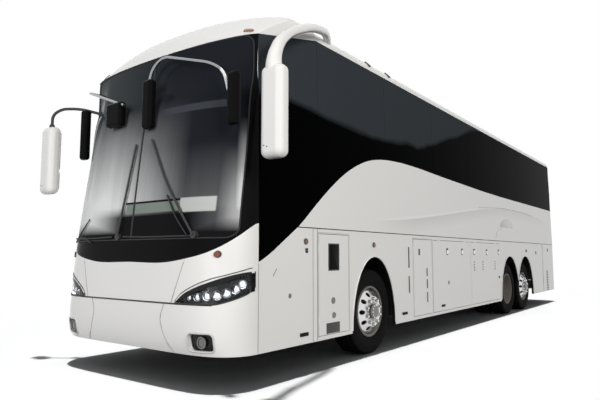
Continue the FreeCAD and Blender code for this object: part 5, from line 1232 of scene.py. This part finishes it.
class COACH_OT_cabin(bpy.types.Operator):
    """Makes the padded seats, their frames, the steering wheel and the dials"""
    bl_idname = "coach.cabin"
    bl_label = "Cabin"

    def execute(self, context):
        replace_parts(self.seats("passenger", seat_places(), 1), "passenger_seats")
        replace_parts(self.seats("driver", [DRIVER_PLACE], 2), "driver_seat")
        self.steering()
        self.dials()
        return {"FINISHED"}

    def seats(self, label, places, levels):
        """Padded cushions and backs on hard frames; gives the cushions."""
        parts = ("_seat_cushions", "_seat_backs", "_seat_frames")
        low, high, frames = [Piece(label + part) for part in parts]
        for place in places:
            cushion, *backs = seat_pads(*place)
            low.add(cushion, "Cabin cloth")
            for back in backs:
                high.add(back, "Cabin cloth")
            for shape, material in seat_frame(*place):
                frames.add(shape, material)
        cushions, backs = [piece.done("seat_fabric") for piece in (low, high)]
        for obj in (cushions, backs):
            soft = obj.modifiers.new("Filling", "SUBSURF")
            soft.levels = soft.render_levels = levels
        frames.done("dark_plastic")
        return cushions

    def steering(self):
        """Rim, spokes and boss of the steering wheel."""
        tilt = math.radians(STEERING_TILT)
        along = Vector((0, math.cos(tilt), math.sin(tilt)))
        down = along.cross(X_AXIS)
        hub = Vector(STEERING_HUB)
        turns = [2 * math.pi * i / 14 for i in range(15)]
        rim = [(0.225 + 0.0138 * math.cos(a), 0.0138 * math.sin(a)) for a in turns]
        boss = [(0.0, -0.046), (0.030, -0.046), (0.046, -0.020), (0.047, -0.006), (0.040, -0.001), (0.0, 0.0)]
        wheel = Piece("steering_rim", "steering_wheel", 50.0)
        wheel.add(lathe(rim, hub, along, 64), "Black rubber")
        wheel.add(lathe(boss, hub, along, 32), "Dark plastic")
        for turn in (-90.0, 30.0, 150.0):
            a = math.radians(turn)
            spoke = X_AXIS * math.cos(a) + down * math.sin(a)
            inner, outer = hub - along * 0.012 + spoke * 0.035, hub - along * 0.004 + spoke * 0.217
            wheel.add(rod(inner, outer, 0.0095, 12), "Dark plastic")
        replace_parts(wheel.done("dark_plastic"), "steering_wheel")

    def dials(self):
        """Instrument dials on the dash."""
        dash = Piece("dash_dials")
        half = Vector((0.0015, 0.0004, 0.0015))
        for x, z, r in ((0.62, 1.462, 0.058), (0.82, 1.462, 0.058), (0.72, 1.482, 0.034)):
            at = Vector((x, -5.4395, z))
            bezel = [(0.0, 0.0005), (r * 0.93, 0.0005), (r * 0.94, 0.004), (r, 0.005), (r * 1.03, 0.0)]
            face = [(0.0, 0.0011), (r * 0.90, 0.0011), (r * 0.90, 0.0018), (0.0, 0.0018)]
            dash.add(lathe(bezel, at, Y_AXIS, 40), "Dark plastic")
            dash.add(lathe(face, at, Y_AXIS, 40), "Black gloss")
            for i in range(9):
                a = math.radians(210 - i * 30)
                tip = at + Vector((math.cos(a) * r * 0.78, 0.0022, math.sin(a) * r * 0.78))
                dash.add(block(tip - half, tip + half), "White lens")
        dash.done("dark_plastic")


class COACH_OT_mirrors(bpy.types.Operator):
    """Makes the mirror glasses, the sleeve of the arm, its foot and its joint"""
    bl_idname = "coach.mirrors"
    bl_label = "Mirrors"

    def execute(self, context):
        piece = Piece("mirror_fittings")
        for x, y, z in MIRROR_HEADS:
            face = y + MIRROR_HALF_DEPTH
            for dz, half_z in ((0.12, 0.225), (-0.235, 0.105)):
                place = Matrix(((1, 0, 0, x), (0, 0, 1, face), (0, 1, 0, z + dz), (0, 0, 0, 1)))
                piece.add(plate(rounded(0.078, half_z, 0.022), 0.003, place, 0.001), "Dark plastic")
                place = place @ Matrix.Translation((0, 0, 0.0015))
                piece.add(plate(rounded(0.070, half_z - 0.008, 0.018), 0.0035, place, 0.001), "Mirror glass")
            for k in range(2):
                at = Vector((x - 0.055 + 0.032 * k, y - MIRROR_HALF_DEPTH, z - 0.295 - 0.012 * k))
                piece.add(lathe([(0.0, 0.003), (0.005, 0.003), (0.0065, 0.0)], at, -Y_AXIS, 14), "Seam line")
        arm = smooth_through([(1.50, -5.38, 3.262), (1.565, -5.57, 3.150), (1.615, -5.73, 3.020),
                              (1.638, -5.82, 2.890), (1.646, -5.85, 2.780), (1.650, -5.852, 2.690)], 5)
        sizes = [0.0440 + 0.027 * min(1.0, i / (len(arm) - 6)) ** 1.6 for i in range(len(arm))]
        cord_line("mirror_arm_sleeve", arm, 0.044, "Body paint", sides=5, radii=sizes)
        foot = [(0.0, -0.02), (0.034, -0.02), (0.034, 0.012), (0.026, 0.02), (0.0, 0.02)]
        piece.add(lathe(foot, (-1.19, -5.655, 2.838), (-1, -0.8, 0.2), 28), "Dark plastic")
        joint = [(0.0, -0.012), (0.030, -0.012), (0.030, 0.018), (0.022, 0.03), (0.0, 0.03)]
        piece.add(lathe(joint, (-1.66, -5.992, 2.684), Z_AXIS, 28), "Dark plastic")
        piece.done("white_paint")
        return {"FINISHED"}


class COACH_OT_tail(bpy.types.Operator):
    """Makes the tail lamps, the blank plate panel, the door handle and the screen behind the louvres"""
    bl_idname = "coach.tail"
    bl_label = "Tail"

    def execute(self, context):
        self.lamps()
        self.reflectors()
        self.engine_door()
        return {"FINISHED"}

    def lamps(self):
        """Three round lamps on either side."""
        rim = [(0.056, -0.006), (0.060, 0.002), (0.056, 0.008), (0.050, 0.004)]
        lens = [(0.0, 0.014), (0.020, 0.0125), (0.038, 0.008), (0.052, 0.0), (0.050, -0.006), (0.0, -0.006)]
        piece = Piece("tail_lamp_bowls")
        for z, material in ((1.225, "Red lens"), (1.015, "Amber lens"), (0.805, "White lens")):
            at, normal = on_tail(1.08, z)
            piece.add(lathe(rim, at, normal, 36), "Chrome", True)
            piece.add(lathe(lens, at, normal, 36), material, True)
        piece.done("red_lens")

    def reflectors(self):
        """Blank plate panel, reflectors low down and small lamps under the roof."""
        piece = Piece("tail_fittings")
        plate_at = on_tail(0.0, 0.44)
        piece.add(tile(rounded(0.28, 0.075, 0.012), 0.005, *plate_at, bevel=0.002), "Dark plastic")
        piece.add(tile(rounded(0.26, 0.056, 0.008), 0.008, *plate_at, bevel=0.001), "White lens")
        for x in (0.55, 1.05):
            piece.add(tile(rounded(0.050, 0.020, 0.008), 0.010, *on_tail(x, 0.40), bevel=0.003), "Red lens",
                      True)
        for x in (0.0, 0.95, 1.10):
            outline = rounded(0.055 if x else 0.16, 0.018, 0.015)
            piece.add(tile(outline, 0.014, *on_tail(x, 3.30), 0.002, 0.004), "Red lens", x > 0.0)
        piece.done("red_lens")

    def engine_door(self):
        """Handle on the engine door, and the dark screen with ribs behind its louvres."""
        door = ("engine_door",)
        piece = Piece("engine_door_handle", "engine_door")
        handle_at = on_tail(0.0, 0.585, door)
        piece.add(tile(rounded(0.085, 0.030, 0.014), 0.004, *handle_at, bevel=0.002), "Dark plastic")
        piece.add(tile(rounded(0.060, 0.012, 0.010), 0.012, *handle_at, bevel=0.004), "Chrome")
        piece.done("dark_plastic")
        piece = Piece("engine_door_screen", "engine_door")
        inner = on_tail(0.0, 0.9, door)[0].y - 0.038
        piece.add(block((-0.60, inner - 0.018, 0.615), (0.60, inner, 1.215), 0.004), "Arch liner")
        for i in range(39):
            x = -0.57 + 0.03 * i
            piece.add(block((x - 0.002, inner - 0.001, 0.630), (x + 0.002, inner + 0.006, 1.200)),
                      "Dark plastic")
        piece.done("dark_plastic")


class COACH_OT_entry(bpy.types.Operator):
    """Makes the entry door's handle and rail and the stair's edges"""
    bl_idname = "coach.entry"
    bl_label = "Entry"

    def execute(self, context):
        piece = Piece("entry_door_fittings", "entry_door")
        piece.add(block((-HALF - 0.004, -4.80, 1.16), (-HALF + 0.001, -4.745, 1.30), 0.003), "Dark plastic")
        piece.add(block((-HALF - 0.016, -4.786, 1.18), (-HALF - 0.003, -4.759, 1.28), 0.005), "Chrome")
        x, y, low, high = -HALF + 0.075, -4.84, 1.55, 2.45
        piece.add(rod((x, y, low), (x, y, high), 0.014, 16), "Chrome")
        for z in (low + 0.02, high - 0.02):
            piece.add(rod((-HALF + 0.046, y, z), (x, y, z), 0.010, 12), "Chrome")
        piece.done("dark_plastic")
        piece = Piece("stair_edges")
        tread, rise = (STAIR_X - 0.56) / STAIR_STEPS, 0.64 / STAIR_STEPS
        for i in range(STAIR_STEPS):
            x, z = -STAIR_X + i * tread, 0.36 + i * rise
            piece.add(block((x + 0.002, -5.60, z + 0.0005), (x + 0.045, -4.70, z + 0.006), 0.002), "Alloy")
        piece.done("dark_plastic")
        return {"FINISHED"}


class COACH_OT_stage(bpy.types.Operator):
    """Makes the floor, the lamps and the camera"""
    bl_idname = "coach.stage"
    bl_label = "Stage"

    def execute(self, context):
        scene = context.scene
        floor = self.floor(scene)
        scene.world = self.sky()
        self.lamps(scene, floor)
        self.camera(scene)
        scene.view_settings.view_transform = "Standard"
        return {"FINISHED"}

    def floor(self, scene):
        """Wide floor that is dim in reflections and fades to paper white away from the coach."""
        bm = bmesh.new()
        bmesh.ops.create_grid(bm, x_segments=1, y_segments=1, size=150.0)
        mesh = bpy.data.meshes.new("floor")
        bm.to_mesh(mesh)
        bm.free()
        floor = bpy.data.objects.new("floor", mesh)
        scene.collection.objects.link(floor)
        material = bpy.data.materials.new("Studio floor")
        material.use_nodes = True
        tree = material.node_tree
        near = fill(tree.nodes["Principled BSDF"], {
            "Roughness": 0.9, "Specular IOR Level": 0.05, "Base Color": (0.93, 0.93, 0.93)})
        dim = fill(tree.nodes.new("ShaderNodeBsdfDiffuse"), {"Color": (0.12, 0.12, 0.12)})
        paper = fill(tree.nodes.new("ShaderNodeEmission"), {"Color": WHITE})
        oval = fill(add_node(tree, "ShaderNodeMapping", [("Vector", own_place(tree))]),
                    {"Scale": (0.16, 0.085, 1.0)})
        reach = add_node(tree, "ShaderNodeVectorMath", [(0, oval.outputs[0])], operation="LENGTH")
        fade = times(tree, minus(tree, reach.outputs["Value"], 0.62), 2.2, True)
        inner = self.blend(tree, fade, near.outputs[0], paper.outputs[0])
        final = self.blend(tree, self.seen(tree), dim.outputs[0], inner)
        tree.links.new(final, tree.nodes["Material Output"].inputs[0])
        mesh.materials.append(material)
        return floor

    def sky(self):
        """Faint light from all round, and white where the camera sees past the floor."""
        world = bpy.data.worlds.new("Studio")
        world.use_nodes = True
        tree = world.node_tree
        faint = fill(tree.nodes["Background"], {"Color": (0.94, 0.965, 1.0), "Strength": 0.14})
        white = fill(tree.nodes.new("ShaderNodeBackground"), {"Color": WHITE})
        both = self.blend(tree, self.seen(tree), faint.outputs[0], white.outputs[0])
        tree.links.new(both, tree.nodes["World Output"].inputs[0])
        return world

    def lamps(self, scene, floor):
        """Suns and soft lamps; one sun lights only the floor and the others all but the floor."""
        lit = {"ground": bpy.data.collections.new("ground"),
               "others": bpy.data.collections.new("all but the ground")}
        for collection in lit.values():
            collection.objects.link(floor)
        lit["others"].collection_objects[0].light_linking.link_state = "EXCLUDE"
        for name, kind, place, target, size, power, colour, receivers in LAMPS:
            lamp = bpy.data.lights.new(name, kind)
            setattr(lamp, "angle" if kind == "SUN" else "size", size)
            lamp.energy = power
            lamp.color = colour
            obj = bpy.data.objects.new(name, lamp)
            obj.location = place
            obj.rotation_euler = (Vector(target) - Vector(place)).to_track_quat("-Z", "Y").to_euler()
            obj.visible_glossy = False
            obj.light_linking.receiver_collection = lit[receivers]
            scene.collection.objects.link(obj)

    def camera(self, scene):
        """Camera low down at the front left corner."""
        camera = bpy.data.cameras.new("camera")
        camera.sensor_width = 36.0
        camera.lens = CAMERA_LENS
        camera.clip_end = 200.0
        obj = bpy.data.objects.new("camera", camera)
        obj.location = CAMERA_PLACE
        obj.rotation_euler = [math.radians(turn) for turn in CAMERA_TURN]
        scene.collection.objects.link(obj)
        scene.camera = obj

    def seen(self, tree):
        """1 for rays that come from the camera, from gloss or through glass."""
        rays = tree.nodes.new("ShaderNodeLightPath").outputs
        mirror = math_node(tree, "MAXIMUM", rays["Is Camera Ray"], rays["Is Glossy Ray"])
        return math_node(tree, "MAXIMUM", mirror, rays["Is Transmission Ray"])

    def blend(self, tree, factor, a, b):
        """Shader between two shaders."""
        return add_node(tree, "ShaderNodeMixShader", enumerate((factor, a, b))).outputs[0]


class COACH_PT_panel(bpy.types.Panel):
    """Lists the coach's steps"""
    bl_label = "Coach"
    bl_idname = "COACH_PT_panel"
    bl_space_type = "VIEW_3D"
    bl_region_type = "UI"
    bl_category = "Coach"

    def draw(self, context):
        layout = self.layout
        for holder in (context.scene.coach_colours, context.scene.coach_sizes):
            for name in holder.__annotations__:
                layout.prop(holder, name)
        for operator in OPERATORS:
            layout.operator(operator.bl_idname)


OPERATORS = (COACH_OT_finishes, COACH_OT_tyres, COACH_OT_wheels, COACH_OT_lamps, COACH_OT_side_fittings,
             COACH_OT_front_trim, COACH_OT_mirrors, COACH_OT_tail, COACH_OT_entry, COACH_OT_cabin,
             COACH_OT_stage)
HOLDERS = (CoachColours, CoachSizes)


def register():
    """Register the classes and their settings."""
    for cls in HOLDERS + OPERATORS + (COACH_PT_panel,):
        bpy.utils.register_class(cls)
    bpy.types.Scene.coach_colours = PointerProperty(type=CoachColours)
    bpy.types.Scene.coach_sizes = PointerProperty(type=CoachSizes)


def unregister():
    """Remove what register added."""
    del bpy.types.Scene.coach_colours
    del bpy.types.Scene.coach_sizes
    for cls in reversed(HOLDERS + OPERATORS + (COACH_PT_panel,)):
        bpy.utils.unregister_class(cls)


def main():
    """Run every step in order and keep the two boxes."""
    register()
    for operator in OPERATORS:
        area, step = operator.bl_idname.split(".")
        getattr(getattr(bpy.ops, area), step)()


if __name__ == "__main__":
    main()
